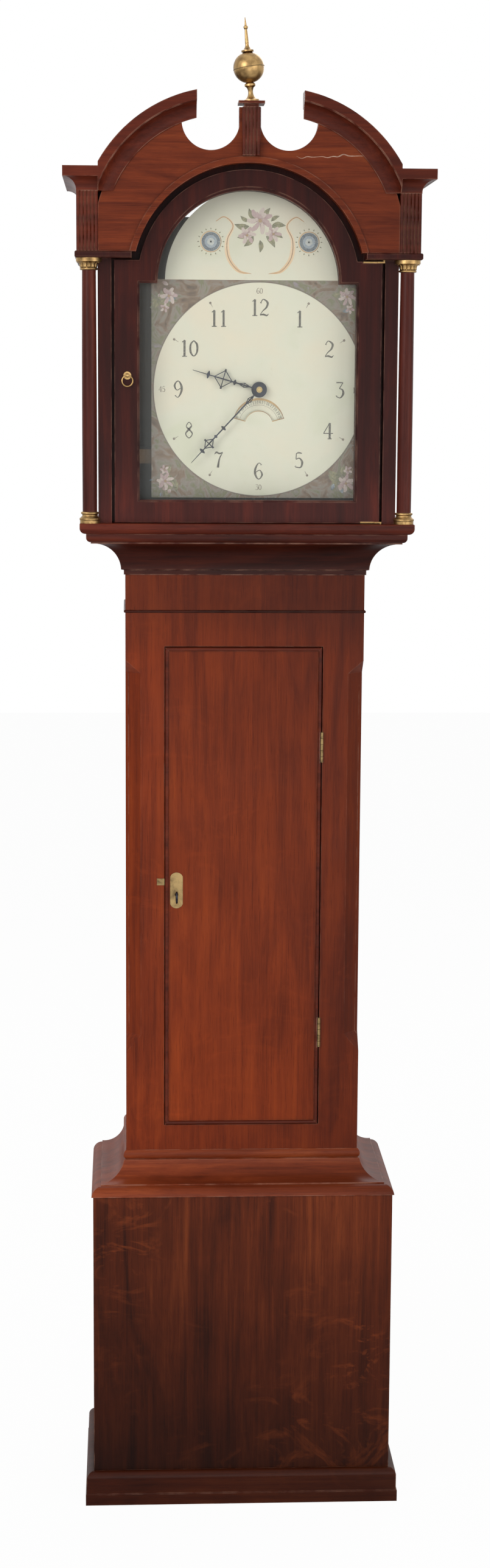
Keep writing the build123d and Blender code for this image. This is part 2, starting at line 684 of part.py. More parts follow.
def going_train():
    phase = 0.0
    wheel = gear(great_teeth, great_module, *going, 90, 93, phase, hub=14)
    save("going_great_wheel", wheel + rope_pulley(*going) + pivots(*going, 57) + prism(*going, 93, 103, 8))
    theta = bearing(going, second)
    pinion_phase = mate(theta, phase, great_teeth, leaves)
    pinion = gear(leaves, great_module, *second, 88, 95, pinion_phase, 0.34, 0.5, False)
    wheel = gear(second_teeth, second_module, *second, 121, 123, 0, hub=3)
    save("going_second_wheel", pinion + wheel + pivots(*second))
    theta = bearing(second, escape)
    pinion_phase = mate(theta, 0, second_teeth, leaves)
    pinion = gear(leaves, second_module, *escape, 119, 125, pinion_phase, 0.34, 0.5, False)
    tip_r, root_r, teeth = 22.0, 17.5, 30
    points = []
    for i in range(teeth):
        a = radians(i * 360 / teeth)
        points.append((escape[0] + root_r * cos(a), escape[1] + root_r * sin(a)))
        points.append((escape[0] + tip_r * cos(a + 0.03), escape[1] + tip_r * sin(a + 0.03)))
        points.append((escape[0] + tip_r * cos(a + 0.05), escape[1] + tip_r * sin(a + 0.05)))
    crown = across(points, 128, 130)
    save("escape_wheel", pinion + crown + pivots(*escape))


def anchor():
    # The pallets stand clear of the escape wheel's teeth through the whole swing.
    steps = [(0, 6), (-8, 4), (-21, -6), (-22.5, -11), (-17.6, -13.5), (-17, -9.5), (-6, -3), (6, -3), (17, -9.5),
             (17.6, -13.5), (22.5, -11), (21, -6), (8, 4)]
    shape = across([(hub_x + x, pivot_z + z) for x, z in steps], 127, 131)
    shape += pivots(hub_x, pivot_z, front_plate, 152)
    shape += box(hub_x - 1.5, hub_x + 1.5, 148, 151, 1652, pivot_z)
    shape += box(hub_x - 6, hub_x + 6, 148, 151, 1650, 1653)
    for side in (-1, 1):
        shape += box(hub_x + side * 4.6 - 1.2, hub_x + side * 4.6 + 1.2, 148, pendulum_depth + 5, 1650, 1653)
    save("anchor_and_crutch", shape)


def pendulum():
    y = pendulum_depth - 1.0
    tab = box(hub_x - 4, hub_x + 4, y - 1.5, y + 1.5, pivot_z - 20, pivot_z + 4) - pin_y(hub_x, pivot_z, 150, 180, 1.5)
    rod = pin_z(hub_x, y, 655, pivot_z - 18, 2.5)
    bob_r, bob_half = 48.0, 12.5
    face = outline([(0, -bob_half), ((bob_r * 0.6, -bob_half * 0.72), (bob_r, 0)),
                    ((bob_r * 0.6, bob_half * 0.72), (0, bob_half))], lambda r, d: (r, d, 0))
    bob = Pos(hub_x, y, bob_z) * revolve(face, Axis((0, 0, 0), (0, 1, 0)))
    nut = pin_z(hub_x, y, 664, 671, 7)
    save("pendulum", tab + rod, bob - pin_z(hub_x, y, 600, 800, 2.5), nut - pin_z(hub_x, y, 600, 800, 2.5))


def strike_train():
    phase = 0.0
    wheel = gear(strike_teeth, strike_module, *strike, 84, 87, phase, hub=14)
    for i in range(13):
        x, z = place_from(*strike, i * 360 / 13, 24.6)
        wheel += prism(x, z, 87, 91, 1.0, 6)
    rear_pinion = gear(strike_leaves, count_module, *strike, 141.5, 149, phase, 0.34, 0.5, False)
    save("strike_great_wheel", wheel + rope_pulley(*strike) + pivots(*strike, front_plate, 149)
         + prism(*strike, 87, 103, 8) + rear_pinion)
    theta = bearing(strike, hoop)
    pinion_phase = mate(theta, phase, strike_teeth, strike_leaves)
    pinion = gear(strike_leaves, strike_module, *hoop, 82, 89, pinion_phase, 0.34, 0.5, False)
    wheel = gear(hoop_teeth, hoop_module, *hoop, 96, 98, 0, hub=3)
    save("hoop_wheel", pinion + wheel + pivots(*hoop))
    theta = bearing(hoop, warning)
    pinion_phase = mate(theta, 0, hoop_teeth, leaves)
    pinion = gear(leaves, hoop_module, *warning, 94, 100, pinion_phase, 0.34, 0.5, False)
    wheel = gear(warning_teeth, warning_module, *warning, 104, 106, 0, hub=2)
    save("warning_wheel", pinion + wheel + pivots(*warning))
    theta = bearing(warning, fly)
    pinion_phase = mate(theta, 0, warning_teeth, leaves)
    pinion = gear(leaves, warning_module, *fly, 102, 108, pinion_phase, 0.34, 0.5, False)
    vane = box(fly[0] - 11.5, fly[0] + 11.5, 110, 126, fly[1] - 0.6, fly[1] + 0.6)
    save("fly", pinion + pivots(*fly) + (vane + prism(*fly, 110, 126, 2.6)))
    theta = bearing(strike, count)
    count_phase = mate(theta, phase, strike_leaves, count_teeth)
    wheel = gear(count_teeth, count_module, *count, 144, 146, count_phase, hub=5)
    save("count_wheel", wheel - pin_y(*count, 143, 147, 2.4))


def hammer():
    x, z = hammer_at
    stem = across([(x - 1.5, z), (x + 1.5, z), (x - 1, 1768), (x - 4, 1768)], 119, 121.5)
    head = box(x - 13, x + 4.4, 115, 125, 1762, 1774)
    tail = across([(x - 2, z), (x + 2, z), (x + 8.5, z - 28), (x + 6, z - 29)], 88, 91)
    shaft = pin_y(x, z, front_plate, back_plate + plate_thick, arbor_r)
    save("hammer", shaft + (stem + head) + tail)


def bell():
    # A bell hung mouth down from a strap on the back plate.
    mouth = 1760.0
    x, y = hub_x, rope_depth
    cup = turned([(47, mouth), (50, mouth), ((41, 1789), (12, 1802)), (0, 1803), (0, 1800), (11, 1799),
                  ((37.5, 1787), (47, mouth))], x, y)
    strap = box(x - 5, x + 5, back_plate - 2.5, back_plate, 1728, 1812)
    strap += box(x - 5, x + 5, y - 5, back_plate, 1809.5, 1812)
    foot = box(x - 5, x + 5, back_plate - 2.5, back_plate, 1723, 1729)
    screw = pin_z(x, y, 1803, 1809.5, 3)
    save("bell", cup, strap + foot + screw)


def motion_work():
    phase = 5.0
    drive = going
    cannon = gear(motion_teeth, motion_module, hub_x, hub_z, 66, 68.5, phase, 0.34, 0.6)
    cannon += prism(hub_x, hub_z, 28, 66, 4.2, 16)
    save("cannon_wheel", cannon - prism(hub_x, hub_z, 27, 70, 3.0))
    theta = bearing((hub_x, hub_z), drive)
    wheel_phase = mate(theta, phase, motion_teeth, motion_teeth)
    wheel = gear(motion_teeth, motion_module, *drive, 66, 68.5, wheel_phase, 0.34, 0.6)
    back = theta + 180
    pinion_phase = 0.0
    pinion = gear(hour_leaves, hour_module, *drive, 58, 66, pinion_phase, 0.34, 0.5, False)
    save("motion_drive_wheel", wheel + pinion - prism(*drive, 57, 70, 2.0))
    hour = gear(hour_teeth, hour_module, hub_x, hub_z, 60, 62.5, mate(back, pinion_phase, hour_leaves, hour_teeth),
                hub=6)
    hour += prism(hub_x, hub_z, 33, 60, 6.2, 16)
    save("hour_wheel", hour - prism(hub_x, hub_z, 32, 64, 4.7, 16))
    save("minute_hand", hand(141, 104, 7.5, 10, ((74, 4), (118, 4.5), (90, 2.5)), 28.5, 30, 9, 4.3, minute_angle))
    save("hour_hand", hand(98, 53, 13, 14, ((75, 5.5), (36, 4)), 33.5, 35, 11, 6.3, hour_angle))


# Rope, weight and ring


def half_loop(x, z, r, turn):
    # A half turn of rope in the plane of the pulleys: turn 1 goes over the top, -1 round the foot.
    path = ThreePointArc((x - r, rope_depth, z), (x, rope_depth, z + turn * r), (x + r, rope_depth, z))
    section = Plane(origin=(x - r, rope_depth, z), z_dir=(0, 0, turn)) * Circle(rope_r)
    return sweep(section, path)


def ropes():
    top = hub_z - great_drop
    save("rope_over_pulleys", *[half_loop(hub_x + s * great_out, top, rope_over, 1) for s in (-1, 1)])
    save("rope_main_strands", *[pin_z(hub_x + s * bight_r, rope_depth, weight_pulley_z, top, rope_r) for s in (-1, 1)])
    save("rope_slack_strands", *[pin_z(hub_x + s * slack_r, rope_depth, slack_z, top, rope_r) for s in (-1, 1)])
    save("rope_weight_bight", half_loop(hub_x, weight_pulley_z, bight_r, -1))
    save("rope_slack_bight", half_loop(hub_x, slack_z, slack_r, -1))
    ring_bore = 9.0
    ring_tube = 6.5
    low = slack_z - slack_r + rope_r + 0.6 - ring_bore
    ring = Pos(hub_x, rope_depth, low) * (Rot(0, 90, 0) * Torus(ring_bore + ring_tube, ring_tube))
    save("counter_ring", ring)


def weight():
    head = weight_foot + weight_long
    x, y, z = hub_x, rope_depth, weight_pulley_z
    body = turned([(0, weight_foot), (weight_r - 2, weight_foot), (weight_r, weight_foot + 2), (weight_r, head - 3),
                   (weight_r - 3, head), (0, head)], x, y)
    stem = box(x - 4, x + 4, y - 3, y + 3, head - 2, 1200)
    bar = box(x - 7, x + 7, y - 9, y + 9, 1198, 1202)
    cheeks = box(x - 7, x + 7, y - 9, y - 7, 1198, z + 7) + box(x - 7, x + 7, y + 7, y + 9, 1198, z + 7)
    pin = pin_y(x, z, y - 8, y + 8, 2.0)
    save("weight", body + stem + bar + cheeks + pin)
    groove = pin_y(x, z, y - 3.2, y + 3.2, bight_r - rope_r - 0.9)
    sides = [pin_y(x, z, y0, y0 + 2, bight_r + 3.5) for y0 in (y - 5.2, y + 3.2)]
    save("weight_pulley", groove + sides[0] + sides[1] - pin_y(x, z, y - 10, y + 10, 2.5))


plinth()
backboard()
trunk()
trunk_door()
hood_case()
tympanum()
cornice()
frieze_blocks()
finial()
columns()
hood_door()
dial()
plates()
going_train()
anchor()
pendulum()
strike_train()
hammer()
bell()
motion_work()
ropes()
weight()
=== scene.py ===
import math

import bpy
import numpy as np
from mathutils import Matrix


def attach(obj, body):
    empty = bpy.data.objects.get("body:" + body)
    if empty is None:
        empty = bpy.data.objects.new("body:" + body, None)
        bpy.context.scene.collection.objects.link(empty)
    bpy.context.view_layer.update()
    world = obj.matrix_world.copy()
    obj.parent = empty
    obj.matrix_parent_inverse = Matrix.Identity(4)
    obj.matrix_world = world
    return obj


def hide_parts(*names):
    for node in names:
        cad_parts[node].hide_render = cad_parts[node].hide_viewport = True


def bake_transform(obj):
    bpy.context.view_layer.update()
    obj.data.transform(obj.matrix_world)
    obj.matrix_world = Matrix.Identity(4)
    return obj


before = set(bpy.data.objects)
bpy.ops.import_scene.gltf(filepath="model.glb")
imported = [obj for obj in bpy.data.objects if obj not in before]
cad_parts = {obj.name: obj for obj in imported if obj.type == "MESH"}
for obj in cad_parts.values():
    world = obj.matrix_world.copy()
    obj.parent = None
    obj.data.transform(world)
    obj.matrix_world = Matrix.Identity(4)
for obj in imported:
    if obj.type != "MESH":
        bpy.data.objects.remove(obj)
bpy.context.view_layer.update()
print("frame loaded:", len(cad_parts), "nodes")

# depths are taken from the plinth's front board, and the frame's y = 0 is this far behind it
middleDepth = 0.102

# camera and light


def standAt(piece, right, up, ahead, place):
    turn = np.eye(4)
    turn[:3, 0], turn[:3, 1], turn[:3, 2], turn[:3, 3] = right, up, -ahead, place
    piece.matrix_world = Matrix(turn.tolist())
    bpy.context.scene.collection.objects.link(piece)


cameraFacts = {
    "place": (-0.1684, -3.5883, 1.6561),
    "yaw": 2.75,       # degrees towards +X
    "pitch": 9.15,     # degrees down
    "roll": 0.34,
    "lens": 56.43,     # millimetres behind a 36 mm tall sensor
    "sensor": 36.0,
}


def placeCamera(facts):
    yaw, pitch, roll = (math.radians(facts[k]) for k in ("yaw", "pitch", "roll"))
    ahead = np.array([math.sin(yaw) * math.cos(pitch), math.cos(yaw) * math.cos(pitch), -math.sin(pitch)])
    right = np.array([math.cos(yaw), -math.sin(yaw), 0])
    up = np.cross(right, ahead)
    rightRolled = right * math.cos(roll) + up * math.sin(roll)
    upRolled = up * math.cos(roll) - right * math.sin(roll)
    data = bpy.data.cameras.new("portraitCamera")
    data.sensor_fit = "VERTICAL"
    data.sensor_height = facts["sensor"]
    data.lens = facts["lens"]
    data.clip_end = 60
    camera = bpy.data.objects.new("portraitCamera", data)
    standAt(camera, rightRolled, upRolled, ahead, facts["place"])
    bpy.context.scene.camera = camera


lampFacts = {
    "keyLeft": {"place": (-2.3, -3.0, 2.9), "aim": (0, 0, 1.2), "size": 2.2, "watts": 74},
    "fillRight": {"place": (2.6, -2.6, 1.7), "aim": (0, 0, 1.1), "size": 2.4, "watts": 30},
    "lowFront": {"place": (0.3, -3.6, 0.7), "aim": (0, 0, 0.7), "size": 1.8, "watts": 20},
    "backTop": {"place": (0.6, 2.6, 3.1), "aim": (0, 0.1, 1.2), "size": 2.2, "watts": 34},
}


def hangLamps(facts):
    for name, lamp in facts.items():
        data = bpy.data.lights.new(name, "AREA")
        data.size = lamp["size"]
        data.energy = lamp["watts"]
        piece = bpy.data.objects.new(name, data)
        ahead = np.array(lamp["aim"], float) - np.array(lamp["place"], float)
        ahead /= np.linalg.norm(ahead)
        right = np.cross(ahead, (0, 0, 1))
        right /= np.linalg.norm(right)
        standAt(piece, right, np.cross(right, ahead), ahead, lamp["place"])


bpy.context.scene.view_settings.view_transform = "Standard"
placeCamera(cameraFacts)
hangLamps(lampFacts)
print("camera and lamps placed")

# small helpers for materials


def newTree(name):
    material = bpy.data.materials.new(name)
    material.use_nodes = True
    material.node_tree.nodes.clear()
    return material, material.node_tree


def feed(tree, socket, value):
    if isinstance(value, bpy.types.NodeSocket):
        tree.links.new(value, socket)
    elif value is not None:
        if socket.type == "RGBA" and len(value) == 3:
            value = (*value, 1)
        socket.default_value = value


def objectPlace(tree, scale=(1, 1, 1), turn=(0, 0, 0)):
    place = tree.nodes.new("ShaderNodeTexCoord")
    mapping = tree.nodes.new("ShaderNodeMapping")
    tree.links.new(place.outputs["Object"], mapping.inputs["Vector"])
    mapping.inputs["Scale"].default_value = scale
    mapping.inputs["Rotation"].default_value = turn
    return mapping.outputs["Vector"]


def cloud(tree, vector, scale, detail=3.0, rough=0.55, twist=0.0):
    node = tree.nodes.new("ShaderNodeTexNoise")
    feed(tree, node.inputs["Vector"], vector)
    node.inputs["Scale"].default_value = scale
    node.inputs["Detail"].default_value = detail
    node.inputs["Roughness"].default_value = rough
    node.inputs["Distortion"].default_value = twist
    return node.outputs["Fac"]


def sums(tree, work, first, second=None, third=None, clamp=False):
    node = tree.nodes.new("ShaderNodeMath")
    node.operation = work
    node.use_clamp = clamp
    for socket, value in zip(node.inputs, (first, second, third)):
        feed(tree, socket, value)
    return node.outputs[0]


def between(tree, value, low, high):
    node = tree.nodes.new("ShaderNodeMapRange")
    feed(tree, node.inputs["Value"], value)
    node.inputs["From Min"].default_value = low
    node.inputs["From Max"].default_value = high
    return node.outputs["Result"]


def blendColour(tree, share, first, second, mode="MIX"):
    node = tree.nodes.new("ShaderNodeMix")
    node.data_type = "RGBA"
    node.blend_type = mode
    feed(tree, node.inputs[0], share)
    feed(tree, node.inputs[6], first)
    feed(tree, node.inputs[7], second)
    return node.outputs[2]


def toneRamp(tree, value, stops):
    node = tree.nodes.new("ShaderNodeValToRGB")
    feed(tree, node.inputs["Fac"], value)
    points = node.color_ramp.elements
    while len(points) < len(stops):
        points.new(0.5)
    for point, (where, tone) in zip(points, stops):
        point.position = where
        point.color = (*tone, 1)
    return node.outputs["Color"]


def splitPlace(tree):
    place = tree.nodes.new("ShaderNodeTexCoord")
    split = tree.nodes.new("ShaderNodeSeparateXYZ")
    tree.links.new(place.outputs["Object"], split.inputs[0])
    return split.outputs


def worn(tree, radius, low, high):
    # How much the surface turns within a small radius: 1 on a sharp edge and 0 on a flat.
    bevel = tree.nodes.new("ShaderNodeBevel")
    bevel.samples = 6
    bevel.inputs["Radius"].default_value = radius
    normal = tree.nodes.new("ShaderNodeNewGeometry")
    dot = tree.nodes.new("ShaderNodeVectorMath")
    dot.operation = "DOT_PRODUCT"
    tree.links.new(bevel.outputs[0], dot.inputs[0])
    tree.links.new(normal.outputs["Normal"], dot.inputs[1])
    return between(tree, dot.outputs["Value"], high, low)


def closeTree(tree, colour, rough, height=None, bump=0.2, depth=0.001, **fixed):
    shader = tree.nodes.new("ShaderNodeBsdfPrincipled")
    output = tree.nodes.new("ShaderNodeOutputMaterial")
    feed(tree, shader.inputs["Base Color"], colour)
    feed(tree, shader.inputs["Roughness"], rough)
    for name, value in fixed.items():
        shader.inputs[name.replace("_", " ")].default_value = value
    if height is not None:
        node = tree.nodes.new("ShaderNodeBump")
        node.inputs["Strength"].default_value = bump
        node.inputs["Distance"].default_value = depth
        feed(tree, node.inputs["Height"], height)
        tree.links.new(node.outputs["Normal"], shader.inputs["Normal"])
    tree.links.new(shader.outputs[0], output.inputs["Surface"])


# wood

woodFacts = {
    # tones run from the dark of the pores to the light of the figure; shade and side are painted light and shade,
    # levels that the colour fades between, up the clock and across it from left to right, as light and shade fall
    # on the case
    "doorOak": {"tones": ((0.0741, 0.0087, 0.0015), (0.1757, 0.0244, 0.0038), (0.2755, 0.0441, 0.0059)),
                "grain": "z", "figure": 2.6, "rays": 0.10, "edge": 0.25, "rough": 0.40,
                "shade": (0.6, 1.30, 1.10, 0.86), "side": (-0.11, 0.11, 1.04, 0.86)},
    "frameOak": {"tones": ((0.063, 0.0073, 0.0015), (0.1575, 0.0218, 0.0036), (0.2467, 0.0396, 0.0057)),
                 "grain": "z", "figure": 2.2, "rays": 0.10, "edge": 0.30, "rough": 0.40,
                 "shade": (1.27, 1.35, 1.0, 0.60), "side": (-0.17, 0.17, 1.22, 0.74)},
    "plinthOak": {"tones": ((0.012, 0.0022, 0.0008), (0.06, 0.0104, 0.0026), (0.125, 0.0259, 0.006)),
                  "grain": "z", "figure": 2.0, "rays": 0.60, "edge": 0.40, "rough": 0.42,
                  "shade": (0.0, 0.48, 0.28, 1.9), "side": (-0.2, 0.2, 0.80, 1.05)},
    "mouldingOak": {"tones": ((0.04, 0.0068, 0.0027), (0.105, 0.0192, 0.0062), (0.19, 0.0416, 0.0119)),
                    "grain": "x", "figure": 2.4, "rays": 0.10, "edge": 0.55, "rough": 0.36,
                    "shade": (0.05, 0.50, 0.42, 1.75), "side": (-0.2, 0.2, 1.15, 0.75)},
    "waistMahogany": {"tones": ((0.018, 0.0035, 0.002), (0.062, 0.0094, 0.0041), (0.125, 0.0209, 0.0069)),
                      "grain": "x", "figure": 3.2, "rays": 0.0, "edge": 0.55, "rough": 0.34,
                      "shade": (1.43, 1.46, 0.60, 1.6), "side": (-0.2, 0.2, 1.05, 0.80)},
    "figuredMahogany": {"tones": ((0.0568, 0.0084, 0.0035), (0.1617, 0.0288, 0.0088),
                                  (0.2646, 0.0602, 0.0152)),
                        "grain": "x", "figure": 4.0, "rays": 0.0, "edge": 0.35, "rough": 0.34,
                        "shade": None, "side": (-0.2, 0.2, 1.0, 0.88)},
    "corniceMahogany": {"tones": ((0.034, 0.0059, 0.0033), (0.098, 0.016, 0.0069), (0.185, 0.0352, 0.0128)),
                        "grain": "x", "figure": 3.0, "rays": 0.0, "edge": 0.60, "rough": 0.34,
                        "shade": None, "side": (-0.22, 0.22, 1.15, 0.80)},
    "darkMahogany": {"tones": ((0.0156, 0.0039, 0.0032), (0.0408, 0.0075, 0.0054), (0.096, 0.0153, 0.0079)),
                     "grain": "z", "figure": 2.5, "rays": 0.0, "edge": 0.35, "rough": 0.34,
                     "shade": (1.46, 1.54, 1.7, 0.9), "side": None},
    "columnMahogany": {"tones": ((0.025, 0.0058, 0.0044), (0.075, 0.014, 0.0087), (0.1562, 0.032, 0.0171)),
                       "grain": "z", "figure": 2.5, "rays": 0.0, "edge": 0.2, "rough": 0.30,
                       "shade": None, "side": None},
    "rawPine": {"tones": ((0.130, 0.072, 0.034), (0.240, 0.142, 0.070), (0.330, 0.212, 0.115)),
                "grain": "z", "figure": 1.5, "rays": 0.0, "edge": 0.1, "rough": 0.72,
                "shade": None, "side": None},
}

polishFacts = {
    "coat": 0.04,
    "coatRough": 0.25,
    "specular": 0.10,
    "bareRough": 0.6,          # wood rougher than this has no polish
    # the tone of rubbed edges, which also serves as a painted highlight along edges and beads
    "wornAndLitTone": (0.42, 0.22, 0.15),
}


def makeWood(name, facts):
    material, tree = newTree(name)
    along = {"x": (1, 0, 0), "z": (0, 0, 1)}[facts["grain"]]

    def stretched(across, length):
        return tuple(length if a else across for a in along)

    figure = cloud(tree, objectPlace(tree, stretched(9, 1.1)), facts["figure"], 5, 0.6, 1.6)
    bands = cloud(tree, objectPlace(tree, stretched(60, 1.6)), 2.2, 4, 0.6, 0.4)
    fibre = cloud(tree, objectPlace(tree, stretched(700, 14)), 1.0, 4, 0.65)
    pores = cloud(tree, objectPlace(tree, stretched(1500, 42)), 1.0, 2, 0.5)
    patches = cloud(tree, objectPlace(tree), 5.5, 4, 0.6)
    value = sums(tree, "MULTIPLY_ADD", figure, 0.55, sums(tree, "MULTIPLY", bands, 0.35))
    value = sums(tree, "MULTIPLY_ADD", fibre, 0.22, value)
    value = sums(tree, "MULTIPLY_ADD", patches, 0.30, sums(tree, "SUBTRACT", value, 0.18))
    dark, middle, light = facts["tones"]
    colour = toneRamp(tree, value, ((0.32, dark), (0.55, middle), (0.80, light)))
    poreMask = between(tree, pores, 0.40, 0.30)
    colour = blendColour(tree, sums(tree, "MULTIPLY", poreMask, 0.55), colour, dark)
    if facts["rays"]:
        # quarter-sawn figure: soft wisps that drift across the grain, strongest in the upper middle
        wisps = cloud(tree, objectPlace(tree, (10, 10, 17), (0, 0.55, 0)), 1.0, 5, 0.62, 2.4)
        drift = cloud(tree, objectPlace(tree, (5.0, 5.0, 3.4)), 1.0, 3, 0.55)
        mask = sums(tree, "MULTIPLY", between(tree, wisps, 0.53, 0.70), between(tree, drift, 0.44, 0.62))
        fleck = sums(tree, "MULTIPLY", mask, facts["rays"])
        colour = blendColour(tree, fleck, colour, tuple(min(1, c * 1.9) for c in light))
    # painted light and shade: the colour is multiplied by levels that lighten or darken it up the clock and across
    # it
    for axis, lightFade in (("Z", facts["shade"]), ("X", facts["side"])):
        if lightFade:
            low, high, atLow, atHigh = lightFade
            share = between(tree, splitPlace(tree)[axis], low, high)
            lightLevel = sums(tree, "MULTIPLY_ADD", share, atHigh - atLow, atLow)
            shadeGrey = tree.nodes.new("ShaderNodeCombineColor")
            for socket in shadeGrey.inputs:
                feed(tree, socket, lightLevel)
            colour = blendColour(tree, 1.0, colour, shadeGrey.outputs[0], "MULTIPLY")
    # pale edges: partly real wear, partly a painted highlight along sharp edges and beads, broken up by nicks
    nicks = cloud(tree, objectPlace(tree), 38, 3, 0.6)
    edge = sums(tree, "MULTIPLY", worn(tree, 0.0026, 0.80, 0.985), between(tree, nicks, 0.40, 0.60))
    edge = sums(tree, "MULTIPLY", edge, facts["edge"], clamp=True)
    colour = blendColour(tree, edge, colour, polishFacts["wornAndLitTone"])
    smear = cloud(tree, objectPlace(tree, (2, 2, 2)), 6, 4, 0.6)
    rough = sums(tree, "MULTIPLY_ADD", smear, 0.22, facts["rough"] - 0.08)
    height = sums(tree, "MULTIPLY_ADD", poreMask, -0.6, sums(tree, "MULTIPLY_ADD", fibre, 0.35, patches))
    coat = 0.0 if facts["rough"] > polishFacts["bareRough"] else polishFacts["coat"]
    closeTree(tree, colour, rough, height, 0.16, 0.0006, Coat_Weight=coat,
              Coat_Roughness=polishFacts["coatRough"], Specular_IOR_Level=polishFacts["specular"])
    return material


finishes = {name: makeWood(name, facts) for name, facts in woodFacts.items()}

# metal, glass and rope

metalFacts = {
    "agedBrass": {"bright": (0.52, 0.335, 0.140), "dull": (0.150, 0.088, 0.036), "rough": 0.33, "spots": 60},
    "darkBrass": {"bright": (0.34, 0.235, 0.105), "dull": (0.10, 0.065, 0.032), "rough": 0.40, "spots": 90},
    "workBrass": {"bright": (0.58, 0.44, 0.20), "dull": (0.36, 0.26, 0.11), "rough": 0.33, "spots": 40},
    "bluedSteel": {"bright": (0.045, 0.047, 0.060), "dull": (0.014, 0.013, 0.015), "rough": 0.34, "spots": 150},
    "dullLead": {"bright": (0.17, 0.17, 0.175), "dull": (0.075, 0.074, 0.078), "rough": 0.62, "spots": 50},
}


def makeMetal(name, facts):
    material, tree = newTree(name)
    spots = cloud(tree, objectPlace(tree), facts["spots"], 5, 0.65, 0.6)
    broad = cloud(tree, objectPlace(tree), facts["spots"] / 5, 3, 0.5)
    value = sums(tree, "MULTIPLY_ADD", spots, 0.6, sums(tree, "MULTIPLY", broad, 0.45))
    colour = toneRamp(tree, value, ((0.38, facts["dull"]), (0.62, facts["bright"])))
    scratches = cloud(tree, objectPlace(tree, (900, 900, 60)), 1.0, 2, 0.5)
    rough = sums(tree, "MULTIPLY_ADD", spots, 0.28, facts["rough"] - 0.12)
    height = sums(tree, "MULTIPLY_ADD", scratches, 0.4, spots)
    closeTree(tree, colour, rough, height, 0.12, 0.0004, Metallic=1.0)
    return material


for name, facts in metalFacts.items():
    finishes[name] = makeMetal(name, facts)


def makeGlass():
    material, tree = newTree("oldGlass")
    ripple = cloud(tree, objectPlace(tree), 9, 2, 0.5)
    dust = cloud(tree, objectPlace(tree), 30, 4, 0.7)
    colour = blendColour(tree, dust, (0.80, 0.86, 0.83), (0.92, 0.95, 0.92))
    closeTree(tree, colour, 0.04, ripple, 0.10, 0.002, Alpha=0.04, Specular_IOR_Level=0.2)
    return material


def makeRope():
    material, tree = newTree("laidRope")
    fluff = cloud(tree, objectPlace(tree), 900, 4, 0.7)
    grime = cloud(tree, objectPlace(tree), 14, 3, 0.6)
    colour = toneRamp(tree, fluff, ((0.3, (0.20, 0.14, 0.08)), (0.7, (0.46, 0.37, 0.24))))
    colour = blendColour(tree, sums(tree, "MULTIPLY", grime, 0.5), colour, (0.14, 0.10, 0.06))
    closeTree(tree, colour, 0.85, fluff, 0.5, 0.0006, Sheen_Weight=0.2)
    return material


finishes["oldGlass"] = makeGlass()
finishes["laidRope"] = makeRope()

# dial: the painted ground, worked out from the distance to the hands' centre

dialFacts = {
    "hub": (0.0175, 1.654),
    "face": 0.040 - middleDepth,
    "circle": 0.1497,
    "square": 1.8064,          # height of the shoulders
    "numeralRadius": 0.1145,
    "numeralTall": 0.0235,
    "smallRadius": 0.1375,
    "smallTall": 0.0082,
    "discCentre": (0.0175, 1.604),
    "discFace": 0.043 - middleDepth,
    "mouth": (0.021, 0.0355),
    "mouthHalf": 74,           # degrees to each side of the top
    "dayRadius": 0.0325,
    "dayTall": 0.0046,
    "dayRing": 0.0285,
    "dayShown": 14,
    "archCentre": (0.0175, 1.803),
}


def makeDialGround(facts):
    material, tree = newTree("paintedDial")
    place = tree.nodes.new("ShaderNodeTexCoord")
    shift = tree.nodes.new("ShaderNodeVectorMath")
    shift.operation = "SUBTRACT"
    tree.links.new(place.outputs["Object"], shift.inputs[0])
    shift.inputs[1].default_value = (facts["hub"][0], 0, facts["hub"][1])
    flat = tree.nodes.new("ShaderNodeVectorMath")
    flat.operation = "MULTIPLY"
    tree.links.new(shift.outputs[0], flat.inputs[0])
    flat.inputs[1].default_value = (1, 0, 1)
    span = tree.nodes.new("ShaderNodeVectorMath")
    span.operation = "LENGTH"
    tree.links.new(flat.outputs[0], span.inputs[0])
    radius = span.outputs["Value"]
    outside = between(tree, radius, facts["circle"] - 0.0002, facts["circle"] + 0.0002)
    below = between(tree, splitPlace(tree)["Z"], facts["square"] + 0.0002, facts["square"] - 0.0002)
    corner = sums(tree, "MULTIPLY", outside, below)
    blots = cloud(tree, objectPlace(tree), 9, 4, 0.6, 0.4)
    fine = cloud(tree, objectPlace(tree), 160, 3, 0.6)
    ivory = toneRamp(tree, blots, ((0.30, (0.62, 0.63, 0.46)), (0.50, (0.69, 0.68, 0.535)),
                                   (0.72, (0.73, 0.67, 0.51))))
    # painted shade: the ivory ground darkens towards the top of the arch
    archShade = between(tree, splitPlace(tree)["Z"], 1.80, 1.93)
    ivory = blendColour(tree, sums(tree, "MULTIPLY", archShade, 0.55), ivory, (0.50, 0.45, 0.35))
    specks = sums(tree, "MULTIPLY", between(tree, fine, 0.60, 0.75), 0.25)
    ivory = blendColour(tree, specks, ivory, (0.50, 0.44, 0.27))
    dabs = cloud(tree, objectPlace(tree), 34, 4, 0.6, 1.4)
    shades = toneRamp(tree, dabs, ((0.30, (0.085, 0.060, 0.036)), (0.43, (0.20, 0.130, 0.078)),
                                   (0.52, (0.235, 0.205, 0.165)), (0.60, (0.165, 0.160, 0.070)),
                                   (0.72, (0.26, 0.220, 0.235))))
    colour = blendColour(tree, corner, ivory, shades)
    fromEdge = sums(tree, "ABSOLUTE", sums(tree, "SUBTRACT", radius, facts["circle"]))
    edgeLine = sums(tree, "MULTIPLY", between(tree, fromEdge, 0.0011, 0.0004), below)
    colour = blendColour(tree, sums(tree, "MULTIPLY", edgeLine, 0.75), colour, (0.10, 0.065, 0.045))
    height = sums(tree, "MULTIPLY_ADD", dabs, 0.6, fine)
    closeTree(tree, colour, 0.38, height, 0.10, 0.0004, Specular_IOR_Level=0.4)
    return material


